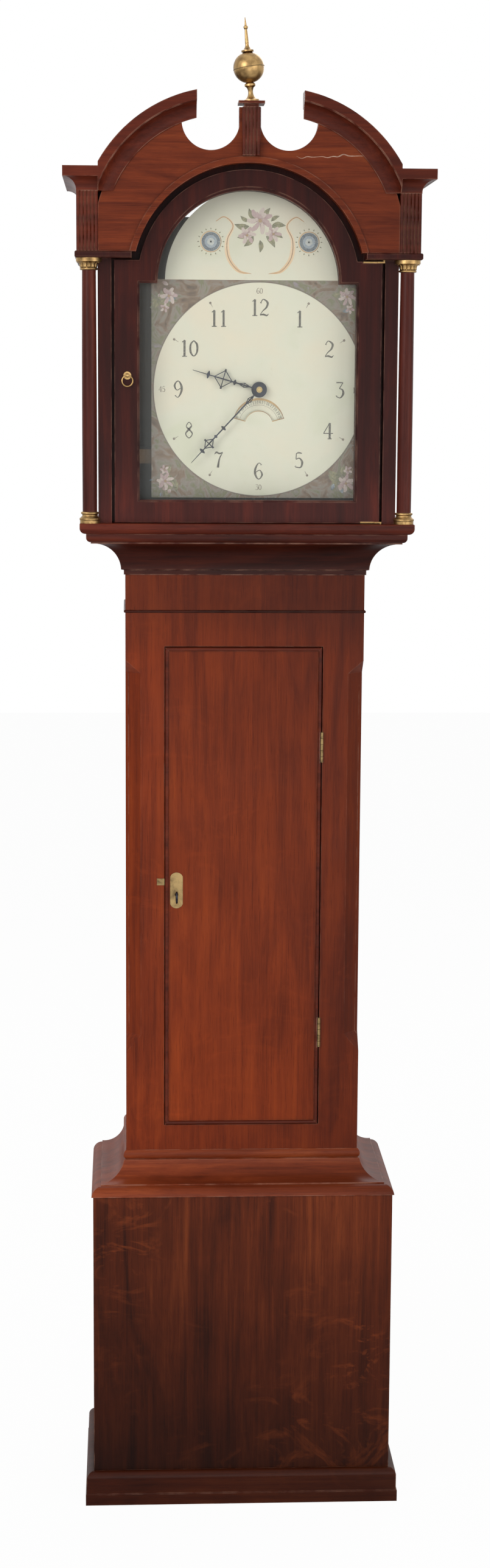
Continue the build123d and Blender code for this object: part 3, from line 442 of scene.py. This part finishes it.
def makeTint(name, rough=0.5):
    # Paint whose colour is kept in each stroke's own attribute, broken up by the brush.
    material, tree = newTree(name)
    tint = tree.nodes.new("ShaderNodeAttribute")
    tint.attribute_name = "tint"
    streaks = cloud(tree, objectPlace(tree), 420, 4, 0.7)
    colour = blendColour(tree, between(tree, streaks, 0.35, 0.75), tint.outputs["Color"], (0.80, 0.78, 0.60))
    colour = blendColour(tree, 0.72, colour, tint.outputs["Color"])
    closeTree(tree, colour, rough, streaks, 0.08, 0.0002)
    return material


finishes["paintedDial"] = makeDialGround(dialFacts)
finishes["brushPaint"] = makeTint("brushPaint")

nodeFinishes = {
    "doorOak": ["trunk_door_board"],
    "frameOak": ["trunk_front_frame", "trunk_sides"],
    "plinthOak": ["plinth_front", "plinth_sides"],
    "mouldingOak": ["skirting", "plinth_cove_moulding"],
    "waistMahogany": ["waist_moulding", "hood_base_frame"],
    "figuredMahogany": ["tympanum"],
    "corniceMahogany": ["cornice_mouldings", "reeded_blocks", "trunk_door_cock_bead"],
    "darkMahogany": ["hood_door_frame", "hood_carcass"],
    "columnMahogany": ["hood_columns"],
    "rawPine": ["backboard", "seatboard", "hood_roof"],
    "agedBrass": ["column_brasses", "finial", "hood_door_brasses", "hood_pull_ring"],
    "darkBrass": ["trunk_hinge_frame_leaves", "trunk_hinge_door_leaves", "trunk_lock", "lock_keeper",
                  "lock_bolt"],
    "workBrass": ["movement_front_plate", "movement_back_plate", "movement_pillars", "bell", "cannon_wheel",
                  "hour_wheel", "motion_drive_wheel", "going_great_wheel", "going_second_wheel",
                  "escape_wheel", "strike_great_wheel", "hoop_wheel", "warning_wheel", "fly", "count_wheel",
                  "weight_pulley", "pendulum"],
    "bluedSteel": ["minute_hand", "hour_hand", "trunk_key", "anchor_and_crutch", "hammer"],
    "dullLead": ["weight", "counter_ring"],
    "paintedDial": ["dial_plate", "date_disc"],
    "oldGlass": ["hood_door_glass"],
    "laidRope": ["rope_over_pulleys", "rope_main_strands", "rope_slack_strands", "rope_weight_bight",
                 "rope_slack_bight"],
}

for finish, nodes in nodeFinishes.items():
    for node in nodes:
        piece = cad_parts[node]
        piece.data.materials.clear()
        piece.data.materials.append(finishes[finish])
print("finishes on every part of the frame")

# surfaces: every new piece is a grid of points (or several) worked out as whole arrays


def gridFaces(rows, columns, wrapRows=False, wrapColumns=False, first=0):
    down = np.arange(rows if wrapRows else rows - 1)
    along = np.arange(columns if wrapColumns else columns - 1)
    i, j = np.meshgrid(down, along, indexing="ij")
    below, beside = (i + 1) % rows, (j + 1) % columns
    corners = (i * columns + j, i * columns + beside, below * columns + beside, below * columns + j)
    return np.stack(corners, axis=-1).reshape(-1, 4) + first


def makePiece(name, points, faces, finish, body, tints=None, smooth=True):
    # A face that names one point twice is a triangle. A piece without a body is left without a parent.
    mesh = bpy.data.meshes.new(name)
    mesh.from_pydata(points.tolist(), [], [tuple(dict.fromkeys(face)) for face in faces.tolist()])
    mesh.validate()
    mesh.polygons.foreach_set("use_smooth", np.full(len(mesh.polygons), smooth))
    if tints is not None:
        layer = mesh.color_attributes.new("tint", "FLOAT_COLOR", "POINT")
        layer.data.foreach_set("color", np.c_[tints, np.ones(len(tints))].astype(np.float32).ravel())
    mesh.materials.append(finishes[finish])
    piece = bpy.data.objects.new(name, mesh)
    bpy.context.scene.collection.objects.link(piece)
    if body:
        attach(piece, body)
    return piece


def smoothPath(knots, samples):
    # Catmull-Rom: each span is a cubic through its two knots, leaning on the knots beside them.
    knots = np.asarray(knots, float)
    if len(knots) == 2:
        share = np.linspace(0, 1, samples)[:, None]
        return knots[0] * (1 - share) + knots[1] * share
    padded = np.vstack([2 * knots[0] - knots[1], knots, 2 * knots[-1] - knots[-2]])
    where = np.linspace(0, len(knots) - 1 - 1e-9, samples)
    span = where.astype(int)
    t = (where - span)[:, None]
    a, b, c, d = (padded[span + k] for k in range(4))
    return 0.5 * (2 * b + (c - a) * t + (2 * a - 5 * b + 4 * c - d) * t ** 2 + (3 * b - a - 3 * c + d) * t ** 3)


class Brush:
    # Gathers flat strokes that lie on the dial; each stroke sits a hair in front of the one before.
    def __init__(self, depth, step):
        self.points, self.faces, self.tints = [], [], []
        self.count, self.depth, self.step = 0, depth, step

    def stroke(self, knots, widths, tints, samples=18, rows=3):
        # A ribbon: point = path(t) + side * width(t) / 2 * normal(t), side running from -1 to 1.
        path = smoothPath(knots, samples)
        t = np.linspace(0, 1, samples)
        wide = np.interp(t, np.linspace(0, 1, len(widths)), widths)
        ahead = np.gradient(path, axis=0)
        ahead /= np.linalg.norm(ahead, axis=1)[:, None] + 1e-12
        normal = np.c_[-ahead[:, 1], ahead[:, 0]]
        side = np.linspace(-1, 1, rows)
        flat = path[:, None, :] + side[None, :, None] * (wide / 2)[:, None, None] * normal[:, None, :]
        tints = np.asarray(tints, float)
        tone = np.stack([np.interp(t, np.linspace(0, 1, len(tints)), tints[:, k]) for k in range(3)], axis=-1)
        tone = np.repeat(tone[:, None, :], rows, axis=1)
        depth = np.full(flat.shape[:2], self.depth)
        self.points.append(np.stack([flat[..., 0], depth, flat[..., 1]], axis=-1).reshape(-1, 3))
        self.tints.append(tone.reshape(-1, 3))
        self.faces.append(gridFaces(samples, rows, first=self.count)[:, ::-1])
        self.count += samples * rows
        self.depth -= self.step

    def lay(self, name, finish, body):
        return makePiece(name, np.vstack(self.points), np.vstack(self.faces), finish, body,
                         np.vstack(self.tints), smooth=False)


# numerals: upright figures of thick and thin strokes, in a box one unit tall

figureStrokes = {
    "1": [(((0, -0.46), (0, 0.47)), (0.13, 0.13)), (((-0.15, 0.35), (0.02, 0.48)), (0.05, 0.07)),
          (((-0.15, -0.48), (0.15, -0.48)), (0.055, 0.055))],
    "2": [(((-0.2, 0.25), (-0.19, 0.29)), (0.10, 0.10)),
          (((-0.22, 0.27), (-0.055, 0.48), (0.2, 0.30), (0.14, 0.02), (-0.08, -0.2), (-0.24, -0.43)),
           (0.055, 0.055, 0.13, 0.11, 0.05, 0.05)),
          (((-0.25, -0.45), (-0.05, -0.41), (0.16, -0.47), (0.27, -0.36)), (0.05, 0.11, 0.09, 0.02))],
    "3": [(((-0.19, 0.45), (0.20, 0.45)), (0.07, 0.07)), (((0.21, 0.45), (0.0, 0.10)), (0.055, 0.055)),
          (((-0.02, 0.10), (0.18, 0.02), (0.23, -0.22), (0.055, -0.46), (-0.19, -0.38)),
           (0.05, 0.09, 0.14, 0.06, 0.05)), (((-0.19, -0.33), (-0.18, -0.36)), (0.10, 0.10))],
    "4": [(((0.09, 0.47), (0.09, -0.46)), (0.13, 0.13)), (((0.08, 0.46), (-0.28, -0.15)), (0.055, 0.055)),
          (((-0.29, -0.16), (0.29, -0.16)), (0.055, 0.055)), (((-0.03, -0.48), (0.21, -0.48)), (0.055, 0.055))],
    "5": [(((-0.14, 0.41), (0.0, 0.46), (0.2, 0.42)), (0.05, 0.10, 0.05)),
          (((-0.14, 0.42), (-0.16, 0.06)), (0.055, 0.055)),
          (((-0.16, 0.06), (0.06, 0.12), (0.22, -0.12), (0.12, -0.42), (-0.2, -0.40)),
           (0.05, 0.07, 0.14, 0.08, 0.05)), (((-0.2, -0.34), (-0.19, -0.37)), (0.10, 0.10))],
    "6": [(((0.17, 0.35), (0.16, 0.38)), (0.10, 0.10)),
          (((0.18, 0.40), (0.0, 0.47), (-0.18, 0.16), (-0.20, -0.16), (-0.06, -0.45), (0.10, -0.45),
            (0.22, -0.20), (0.08, 0.05), (-0.14, -0.06)), (0.05, 0.05, 0.12, 0.14, 0.07, 0.06, 0.12, 0.05, 0.05))],
    "7": [(((-0.24, 0.34), (-0.12, 0.46), (0.08, 0.39), (0.26, 0.47)), (0.02, 0.11, 0.10, 0.05)),
          (((0.26, 0.46), (0.07, 0.08), (-0.03, -0.46)), (0.05, 0.08, 0.15))],
    "8": [(((-0.02, 0.055), (-0.16, 0.24), (0.0, 0.47), (0.15, 0.27), (0.0, 0.055), (-0.20, -0.22),
            (0.0, -0.47), (0.20, -0.22), (0.0, 0.055)), (0.12, 0.05, 0.055, 0.06, 0.13, 0.07, 0.055, 0.07, 0.10))],
    "0": [(((0.0, 0.46), (-0.19, 0.22), (-0.19, -0.22), (0.0, -0.46), (0.19, -0.22), (0.19, 0.22), (0.0, 0.46)),
           (0.055, 0.11, 0.13, 0.055, 0.11, 0.13, 0.055))],
}
figureStrokes["9"] = [(tuple((-x, -z) for x, z in knots), widths) for knots, widths in figureStrokes["6"]]


def writeFigures(brush, words, centre, tall, ink, advance=0.56, turn=0.0):
    cosTurn, sinTurn = math.cos(turn), math.sin(turn)
    total = advance * (len(words) - 1)
    for place, letter in enumerate(words):
        for knots, widths in figureStrokes[letter]:
            flat = np.asarray(knots, float) * tall
            flat[:, 0] += (place * advance - total / 2) * tall
            x, z = flat.T
            spun = np.c_[x * cosTurn + z * sinTurn, z * cosTurn - x * sinTurn]
            samples = 8 + 6 * len(knots)
            brush.stroke(spun + centre, np.asarray(widths) * tall, (ink, ink), samples, rows=2)


inks = {"figure": (0.030, 0.022, 0.017), "faint": (0.16, 0.12, 0.085)}


def paintChapter(facts):
    brush = Brush(facts["face"] - 0.00008, 0.0000005)
    hub = np.array(facts["hub"])
    figure, faint = inks["figure"], inks["faint"]
    for hour in range(1, 13):
        angle = math.radians(hour * 30)
        out = np.array([math.sin(angle), math.cos(angle)])
        writeFigures(brush, str(hour), hub + out * facts["numeralRadius"], facts["numeralTall"], figure)
        if hour % 3:
            spot = hub + out * (facts["smallRadius"] + 0.0015)
            dot, tail = (spot - out * 0.0016, spot + out * 0.0016), (spot - out * 0.007, spot - out * 0.002)
            brush.stroke(dot, (0.0026, 0.0036, 0.0022), (faint, faint), 6)
            brush.stroke(tail, (0.0004, 0.0009), (faint, faint), 6)
        else:
            writeFigures(brush, str(hour * 5), hub + out * facts["smallRadius"], facts["smallTall"], faint)
    brush.lay("dialNumerals", "brushPaint", "case")


def paintMouth(facts):
    # The gold line round the date opening, and the days on the disc behind it.
    low, high = facts["mouth"]
    half = facts["mouthHalf"]
    centre = np.array(facts["discCentre"])
    swing = np.radians(np.linspace(-half, half, 15))
    brush = Brush(facts["face"] - 0.0001, 0.000002)
    gold, deep = (0.50, 0.30, 0.10), (0.20, 0.11, 0.05)
    arc = np.c_[np.sin(swing), np.cos(swing)]
    brush.stroke(centre + arc * (high + 0.0012), (0.0008, 0.0026, 0.0030, 0.0026, 0.0008),
                 (deep, gold, gold, deep), 48)
    brush.stroke(centre + arc * (low - 0.0009), (0.0005, 0.0014, 0.0005), (gold, deep), 40)
    for side in (-1, 1):
        end = np.array([math.sin(math.radians(half) * side), math.cos(math.radians(half))])
        line = (centre + end * (low - 0.001), centre + end * (high + 0.002))
        brush.stroke(line, (0.0012, 0.0016), (gold, deep), 8)
    brush.lay("dateMouthLine", "brushPaint", "case")
    days = Brush(facts["discFace"] - 0.00008, 0.0000005)
    for day in range(1, 32):
        angle = math.radians((day - facts["dayShown"]) * 360 / 31)
        spot = centre + np.array([math.sin(angle), math.cos(angle)]) * facts["dayRadius"]
        writeFigures(days, str(day), spot, facts["dayTall"], inks["figure"], 0.6, angle)
    turn = np.linspace(0, 2 * np.pi, 40)
    ring = np.c_[np.sin(turn), np.cos(turn)] * facts["dayRing"]
    days.stroke(centre + ring, (0.0004, 0.0004), (inks["faint"],) * 2, 90)
    days.lay("dateFigures", "brushPaint", "date")


paintFacts = {
    "petalOut": (0.40, 0.270, 0.265),
    "petalIn": (0.23, 0.125, 0.120),
    "petalPale": (0.50, 0.400, 0.360),
    "heart": (0.36, 0.24, 0.06),
    "leafLight": (0.205, 0.190, 0.080),
    "leafDark": (0.075, 0.070, 0.030),
    "skyPale": (0.235, 0.285, 0.330),
    "skyDeep": (0.060, 0.085, 0.120),
    "skyLight": (0.42, 0.44, 0.42),
    "goldPale": (0.64, 0.38, 0.15),
    "goldDeep": (0.26, 0.125, 0.050),
    "scrollPale": (0.74, 0.56, 0.36),
    "seed": 7,
}


def paintFlower(brush, centre, size, petals, turn, facts, rings=3):
    # Rings of petals: each is a short curved dab, wide in the middle, pale outside and deep inside.
    for ring in range(rings):
        reach = size * (1 - 0.30 * ring)
        count = max(3, petals - ring)
        for k in range(count):
            angle = turn + ring * 0.5 + k * 2 * math.pi / count
            out = np.array([math.cos(angle), math.sin(angle)])
            side = np.array([-out[1], out[0]])
            wide = reach * 2.3 / count
            rim = facts["petalPale"] if (k + ring) % 2 else facts["petalOut"]
            start, end = centre + out * reach * 0.18, centre + out * reach
            bow = side * reach * 0.07
            brush.stroke((start, (start + end) / 2 + bow, end), (wide * 0.35, wide, wide * 1.12, wide * 0.55),
                         (facts["petalIn"], rim, rim), 12, 5)
    for k in range(7):
        angle = turn + k * 0.9
        out = np.array([math.cos(angle), math.sin(angle)])
        dab = (centre + out * size * 0.02, centre + out * size * 0.15)
        brush.stroke(dab, (size * 0.05, size * 0.09, size * 0.02), (facts["goldDeep"], facts["heart"]), 6)


def paintLeaf(brush, foot, angle, size, facts):
    out = np.array([math.cos(angle), math.sin(angle)])
    side = np.array([-out[1], out[0]])
    tip = foot + out * size
    middle = foot + out * size * 0.5 + side * size * 0.10
    brush.stroke((foot, middle, tip), (size * 0.04, size * 0.36, size * 0.42, size * 0.26, size * 0.01),
                 (facts["leafDark"], facts["leafLight"], facts["leafDark"]), 16, 5)
    brush.stroke((foot, middle, tip), (size * 0.05, size * 0.03, size * 0.008),
                 (facts["leafDark"], facts["leafDark"]), 12)


def paintSpandrels(dial, facts):
    # A posy in each corner of the square: one flower, a bud or two and leaves, no two corners alike.
    chance = np.random.default_rng(facts["seed"])
    brush = Brush(dial["face"] - 0.0001, 0.000001)
    hub = np.array(dial["hub"])
    for k, (sx, sz) in enumerate(((-1, 1), (1, 1), (1, -1), (-1, -1))):
        reach = 0.124 if sx > 0 else 0.130
        middle = hub + np.array([sx * reach, sz * 0.130])
        for step in range(9):
            foot = middle + chance.normal(0, 0.008, 2)
            angle = chance.uniform(0, 2 * math.pi)
            paintLeaf(brush, foot, angle, chance.uniform(0.012, 0.020), facts)
        for step in range(5):
            spot = middle + chance.normal(0, 0.011, 2)
            outer, inner = ("skyPale", "skyDeep") if step % 2 else ("petalPale", "petalIn")
            bud = (spot, spot + chance.normal(0, 0.005, 2))
            brush.stroke(bud, (0.002, 0.006, 0.002), (facts[outer], facts[inner]), 8, 3)
        paintFlower(brush, middle + chance.normal(0, 0.003, 2), 0.0125, 6 + k % 2, k * 0.7, facts)
        paintFlower(brush, middle + np.array([sx * 0.004, -sz * 0.017]), 0.0065, 5, k, facts, 2)
    brush.lay("spandrelPosies", "brushPaint", "case")


archFacts = {
    "paneOut": 0.069,
    "paneUp": 0.056,
    "paneRadius": 0.0125,
    "heartUp": 0.075,
    "scroll": ((0.012, 0.012), (0.030, 0.016), (0.044, 0.034), (0.046, 0.058), (0.038, 0.078), (0.050, 0.090),
               (0.062, 0.084)),
    # each leaf: its direction, how far out its foot is, and its length
    "leaves": ((0.1, 0.022, 0.021), (3.0, 0.022, 0.021), (-0.9, 0.020, 0.020), (-2.3, 0.020, 0.020),
               (1.1, 0.019, 0.018), (2.1, 0.019, 0.018), (-1.57, 0.024, 0.017), (0.55, 0.026, 0.014),
               (2.6, 0.026, 0.014), (-0.4, 0.027, 0.016), (-2.75, 0.027, 0.016)),
    # each flower: its place from the heart, its size, its petals and its turn
    "flowers": (((0.0, 0.010), 0.0185, 7, 0.4), ((-0.018, -0.010), 0.0125, 6, 1.1),
                ((0.019, -0.008), 0.0115, 6, 2.0)),
}


def paintArch(dial, arch, facts):
    # A garland over the dial: open flowers on a spray of leaves, with a round pane and a scroll at each side.
    brush = Brush(dial["face"] - 0.0001, 0.0000015)
    x, z = dial["archCentre"]
    gold, deep = facts["goldPale"], facts["goldDeep"]
    around = np.linspace(0, 2 * np.pi, 40)
    ring = np.c_[np.cos(around), np.sin(around)]
    for side in (-1, 1):
        pane = np.array([x + side * arch["paneOut"], z + arch["paneUp"]])
        for share, name in ((0.80, "skyDeep"), (0.45, "skyPale"), (0.15, "skyLight")):
            circle = pane + ring * arch["paneRadius"] * share
            brush.stroke(circle, (0.0062, 0.0062), (facts[name], facts[name]), 60, 3)
        brush.stroke(pane + ring * 0.0143, (0.0012, 0.0012), (deep, gold, deep), 60)
        for k in range(16):
            angle = k * 2 * math.pi / 16
            out = np.array([math.cos(angle), math.sin(angle)])
            brush.stroke((pane + out * 0.0165, pane + out * 0.0192), (0.0006, 0.0018, 0.0004),
                         (facts["leafDark"], facts["leafLight"]), 6)
        scroll = [(x + side * dx, z + dz) for dx, dz in arch["scroll"]]
        brush.stroke(scroll, (0.0005, 0.0052, 0.0068, 0.0040, 0.0022, 0.0010),
                     (gold, facts["scrollPale"], gold), 60, 3)
        brush.stroke(scroll, (0.0003, 0.0011, 0.0013, 0.0009, 0.0005), (deep, deep), 60)
    heart = np.array([x, z + arch["heartUp"]])
    for angle, far, size in arch["leaves"]:
        out = np.array([math.cos(angle), math.sin(angle)])
        paintLeaf(brush, heart + out * far * 0.7, angle, size, facts)
    for place, size, petals, turn in arch["flowers"]:
        paintFlower(brush, heart + place, size, petals, turn, facts)
    brush.lay("archGarland", "brushPaint", "case")


paintChapter(dialFacts)
paintMouth(dialFacts)
paintSpandrels(dialFacts, paintFacts)
paintArch(dialFacts, archFacts, paintFacts)
print("dial painted")

# rope: a tube whose radius swells over three strands that wind round it

ropeFacts = {
    "radius": 0.0021,
    "pitch": 0.016,
    "depth": 0.108 - middleDepth,
    "hub": 0.0175,
    "pulleyHeight": 1.6341,
    "greatOut": 0.030,
    "over": 0.016,
    "bight": 0.014,
    "slack": 0.046,
    "weightPulley": 1.225,
    "slackHeight": 0.330,
}


def layRope(path, radius, pitch, sides):
    # point = path(s) + r(s, a) * (cos a * side + sin a * other), r swelling with cos(3 (a - 2 pi s / pitch)).
    path = np.asarray(path, float)
    ahead = np.gradient(path, axis=0)
    ahead /= np.linalg.norm(ahead, axis=1)[:, None]
    other = np.tile((0.0, 1.0, 0.0), (len(path), 1))
    side = np.cross(other, ahead)
    run = np.r_[0, np.cumsum(np.linalg.norm(np.diff(path, axis=0), axis=1))]
    angle = np.linspace(0, 2 * np.pi, sides, endpoint=False)
    swell = radius * (0.88 + 0.12 * np.cos(3 * (angle[None, :] - 2 * np.pi * run[:, None] / pitch)))
    points = (path[:, None, :] + swell[..., None] * (np.cos(angle)[None, :, None] * side[:, None, :]
                                                     + np.sin(angle)[None, :, None] * other[:, None, :]))
    return points.reshape(-1, 3), gridFaces(len(path), sides, wrapColumns=True)


def meshRope(name, paths, body, facts, sides=9):
    # Several ropes in one mesh, each closed at both ends by triangles that meet in a middle point.
    allPoints, allFaces, count = [], [], 0
    ring = np.arange(sides)
    after = np.roll(ring, -1)
    for path in paths:
        points, faces = layRope(path, facts["radius"], facts["pitch"], sides)
        middle, last = np.full(sides, len(points)), len(points) - sides
        nearCap = np.c_[after, ring, middle, middle]
        farCap = np.c_[ring + last, after + last, middle + 1, middle + 1]
        allPoints += [points, np.array([path[0], path[-1]])]
        allFaces += [faces + count, nearCap + count, farCap + count]
        count += len(points) + 2
    return makePiece(name, np.vstack(allPoints), np.vstack(allFaces), "laidRope", body)


def straight(x, low, high, facts, spacing=0.0022):
    heights = np.linspace(high, low, max(2, int((high - low) / spacing)))
    return np.c_[np.full(len(heights), x), np.full(len(heights), facts["depth"]), heights]


def halfTurn(x, z, radius, up, facts, samples=36):
    turn = np.linspace(math.pi, 0, samples)
    return np.c_[x + radius * np.cos(turn), np.full(samples, facts["depth"]), z + up * radius * np.sin(turn)]


def hangRope(facts):
    hub, top = facts["hub"], facts["pulleyHeight"]
    paths = [halfTurn(hub + side * facts["greatOut"], top, facts["over"], 1, facts) for side in (-1, 1)]
    over = meshRope("ropeOverPulleys", paths, "case", facts)
    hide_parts("rope_over_pulleys")
    paths = [halfTurn(hub, facts["weightPulley"], facts["bight"], -1, facts)]
    bight = meshRope("ropeWeightBight", paths, "weight", facts)
    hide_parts("rope_weight_bight")
    paths = [halfTurn(hub, facts["slackHeight"], facts["slack"], -1, facts, 80)]
    slackBight = meshRope("ropeSlackBight", paths, "counter_ring", facts)
    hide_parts("rope_slack_bight")
    strands = (("ropeMainStrands", facts["bight"], facts["weightPulley"], "weight", "rope_main_strands"),
               ("ropeSlackStrands", facts["slack"], facts["slackHeight"], "counter_ring", "rope_slack_strands"))
    for name, out, low, body, node in strands:
        paths = [straight(hub + side * out, low, top, facts) for side in (-1, 1)]
        piece = meshRope(name, paths, None, facts, 8)
        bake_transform(piece)
        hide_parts(node)


hangRope(ropeFacts)
print("rope hung")

# small details on the case

trimFacts = {
    "column": 0.222,
    "front": -middleDepth,
    "capitalFoot": 1.8198,
    "capitalHead": 1.8270,
    "leafCount": 12,
    "leafReach": 0.014,
    "stileGap": 0.0105,
    "crackStart": (0.064, 1.9705),
    "crackEnd": (0.158, 1.9735),
    "crackSeed": 3,
    "face": -0.014 - middleDepth,
    "ballCentre": (-0.0020, -0.114, 2.0890),
    "ballRadius": 0.0213,
}


def capitalLeaves(facts):
    # Leaves round each capital: the radius grows as the 2.2th power of the way up, so that the tip rolls
    # outwards and then down, and the width narrows as the root of 1 - up ** 4.
    allPoints, allFaces, count = [], [], 0
    rows, columns = 9, 5
    up = np.linspace(0, 1, rows)[:, None]
    across = np.linspace(-1, 1, columns)[None, :]
    rise = facts["capitalHead"] - facts["capitalFoot"]
    for side in (-1, 1):
        for k in range(facts["leafCount"]):
            turn = 2 * math.pi * k / facts["leafCount"]
            # no leaf where the hood's stile stands behind the column
            if side * math.cos(turn) * facts["leafReach"] < -facts["stileGap"] and math.sin(turn) > -0.1:
                continue
            half = 0.22 * np.sqrt(np.clip(1 - up ** 4, 0.02, 1))
            angle = turn + across * half
            radius = 0.0118 + 0.0046 * up ** 2.2 + 0.0006 * (1 - across ** 2)
            height = facts["capitalFoot"] + rise * np.sin(up * 1.9)
            x = side * facts["column"] + radius * np.cos(angle)
            y = facts["front"] + radius * np.sin(angle)
            z = np.broadcast_to(height, x.shape)
            allPoints.append(np.stack([x, y, z], axis=-1).reshape(-1, 3))
            allFaces.append(gridFaces(rows, columns, first=count))
            count += rows * columns
    piece = makePiece("capitalLeaves", np.vstack(allPoints), np.vstack(allFaces), "agedBrass", "hood")
    shell = piece.modifiers.new("thickness", "SOLIDIFY")
    shell.thickness = 0.0006
    shell.offset = 0


def repairLine(facts):
    # A mended crack in the tympanum: a thin wandering line, paler than the wood.
    chance = np.random.default_rng(facts["crackSeed"])
    start, end = np.array(facts["crackStart"]), np.array(facts["crackEnd"])
    share = np.linspace(0, 1, 14)[:, None]
    knots = start * (1 - share) + end * share + np.c_[np.zeros(14), chance.normal(0, 0.0007, 14)]
    brush = Brush(facts["face"] - 0.0001, 0.000002)
    pale, deep = (0.46, 0.24, 0.16), (0.20, 0.07, 0.035)
    brush.stroke(knots, (0.0003, 0.0011, 0.0004, 0.0012, 0.0017, 0.0012, 0.0003),
                 (deep, pale, deep, pale), 60, 2)
    brush.lay("repairLine", "brushPaint", "hood")


def ballSeam(facts):
    # The seam of the finial's ball: a fine ring round its middle, tilted a little.
    tilt = math.radians(9)
    around = np.linspace(0, 2 * np.pi, 72, endpoint=False)[:, None]
    section = np.linspace(0, 2 * np.pi, 6, endpoint=False)[None, :]
    radius = facts["ballRadius"] + 0.00045 * np.cos(section)
    x, y = radius * np.cos(around), radius * np.sin(around)
    z = 0.0006 * np.sin(section) + 0 * around
    cosTilt, sinTilt = math.cos(tilt), math.sin(tilt)
    points = np.stack([x * cosTilt - z * sinTilt, y, x * sinTilt + z * cosTilt], axis=-1)
    points = points.reshape(-1, 3) + np.array(facts["ballCentre"])
    makePiece("finialSeam", points, gridFaces(72, 6, True, True)[:, ::-1], "darkBrass", "hood")


capitalLeaves(trimFacts)
repairLine(trimFacts)
ballSeam(trimFacts)
print("case details made")

# floor and surroundings

stageFacts = {"half": 9.0, "tone": (0.93, 0.93, 0.93), "ambient": 0.34, "glow": 0.965}


def layFloor(facts):
    half = facts["half"]
    corners = np.array([(-half, -half, 0), (half, -half, 0), (half, half, 0), (-half, half, 0)])
    mesh = bpy.data.meshes.new("paleFloor")
    mesh.from_pydata((corners - (0, 0, 0.0002)).tolist(), [], [(0, 1, 2, 3)])
    material, tree = newTree("paleFloor")
    plain = tree.nodes.new("ShaderNodeBsdfDiffuse")
    plain.inputs["Color"].default_value = (*facts["tone"], 1)
    glow = tree.nodes.new("ShaderNodeEmission")
    path = tree.nodes.new("ShaderNodeLightPath")
    mixer = tree.nodes.new("ShaderNodeMixShader")
    output = tree.nodes.new("ShaderNodeOutputMaterial")
    feed(tree, mixer.inputs[0], sums(tree, "MULTIPLY", path.outputs["Is Camera Ray"], facts["glow"]))
    tree.links.new(plain.outputs[0], mixer.inputs[1])
    tree.links.new(glow.outputs[0], mixer.inputs[2])
    tree.links.new(mixer.outputs[0], output.inputs["Surface"])
    mesh.materials.append(material)
    floor = bpy.data.objects.new("paleFloor", mesh)
    bpy.context.scene.collection.objects.link(floor)


def lightWorld(facts):
    world = bpy.data.worlds.new("paleRoom")
    bpy.context.scene.world = world
    world.use_nodes = True
    tree = world.node_tree
    tree.nodes.clear()
    path = tree.nodes.new("ShaderNodeLightPath")
    seen = sums(tree, "MAXIMUM", path.outputs["Is Camera Ray"], path.outputs["Is Transmission Ray"])
    seen = sums(tree, "MAXIMUM", seen, path.outputs["Is Glossy Ray"])
    back = tree.nodes.new("ShaderNodeBackground")
    output = tree.nodes.new("ShaderNodeOutputWorld")
    back.inputs["Color"].default_value = (1, 1, 1, 1)
    strength = sums(tree, "MULTIPLY_ADD", seen, 1 - facts["ambient"], facts["ambient"])
    feed(tree, back.inputs["Strength"], strength)
    tree.links.new(back.outputs[0], output.inputs["Surface"])


layFloor(stageFacts)
lightWorld(stageFacts)
print("floor and room made")
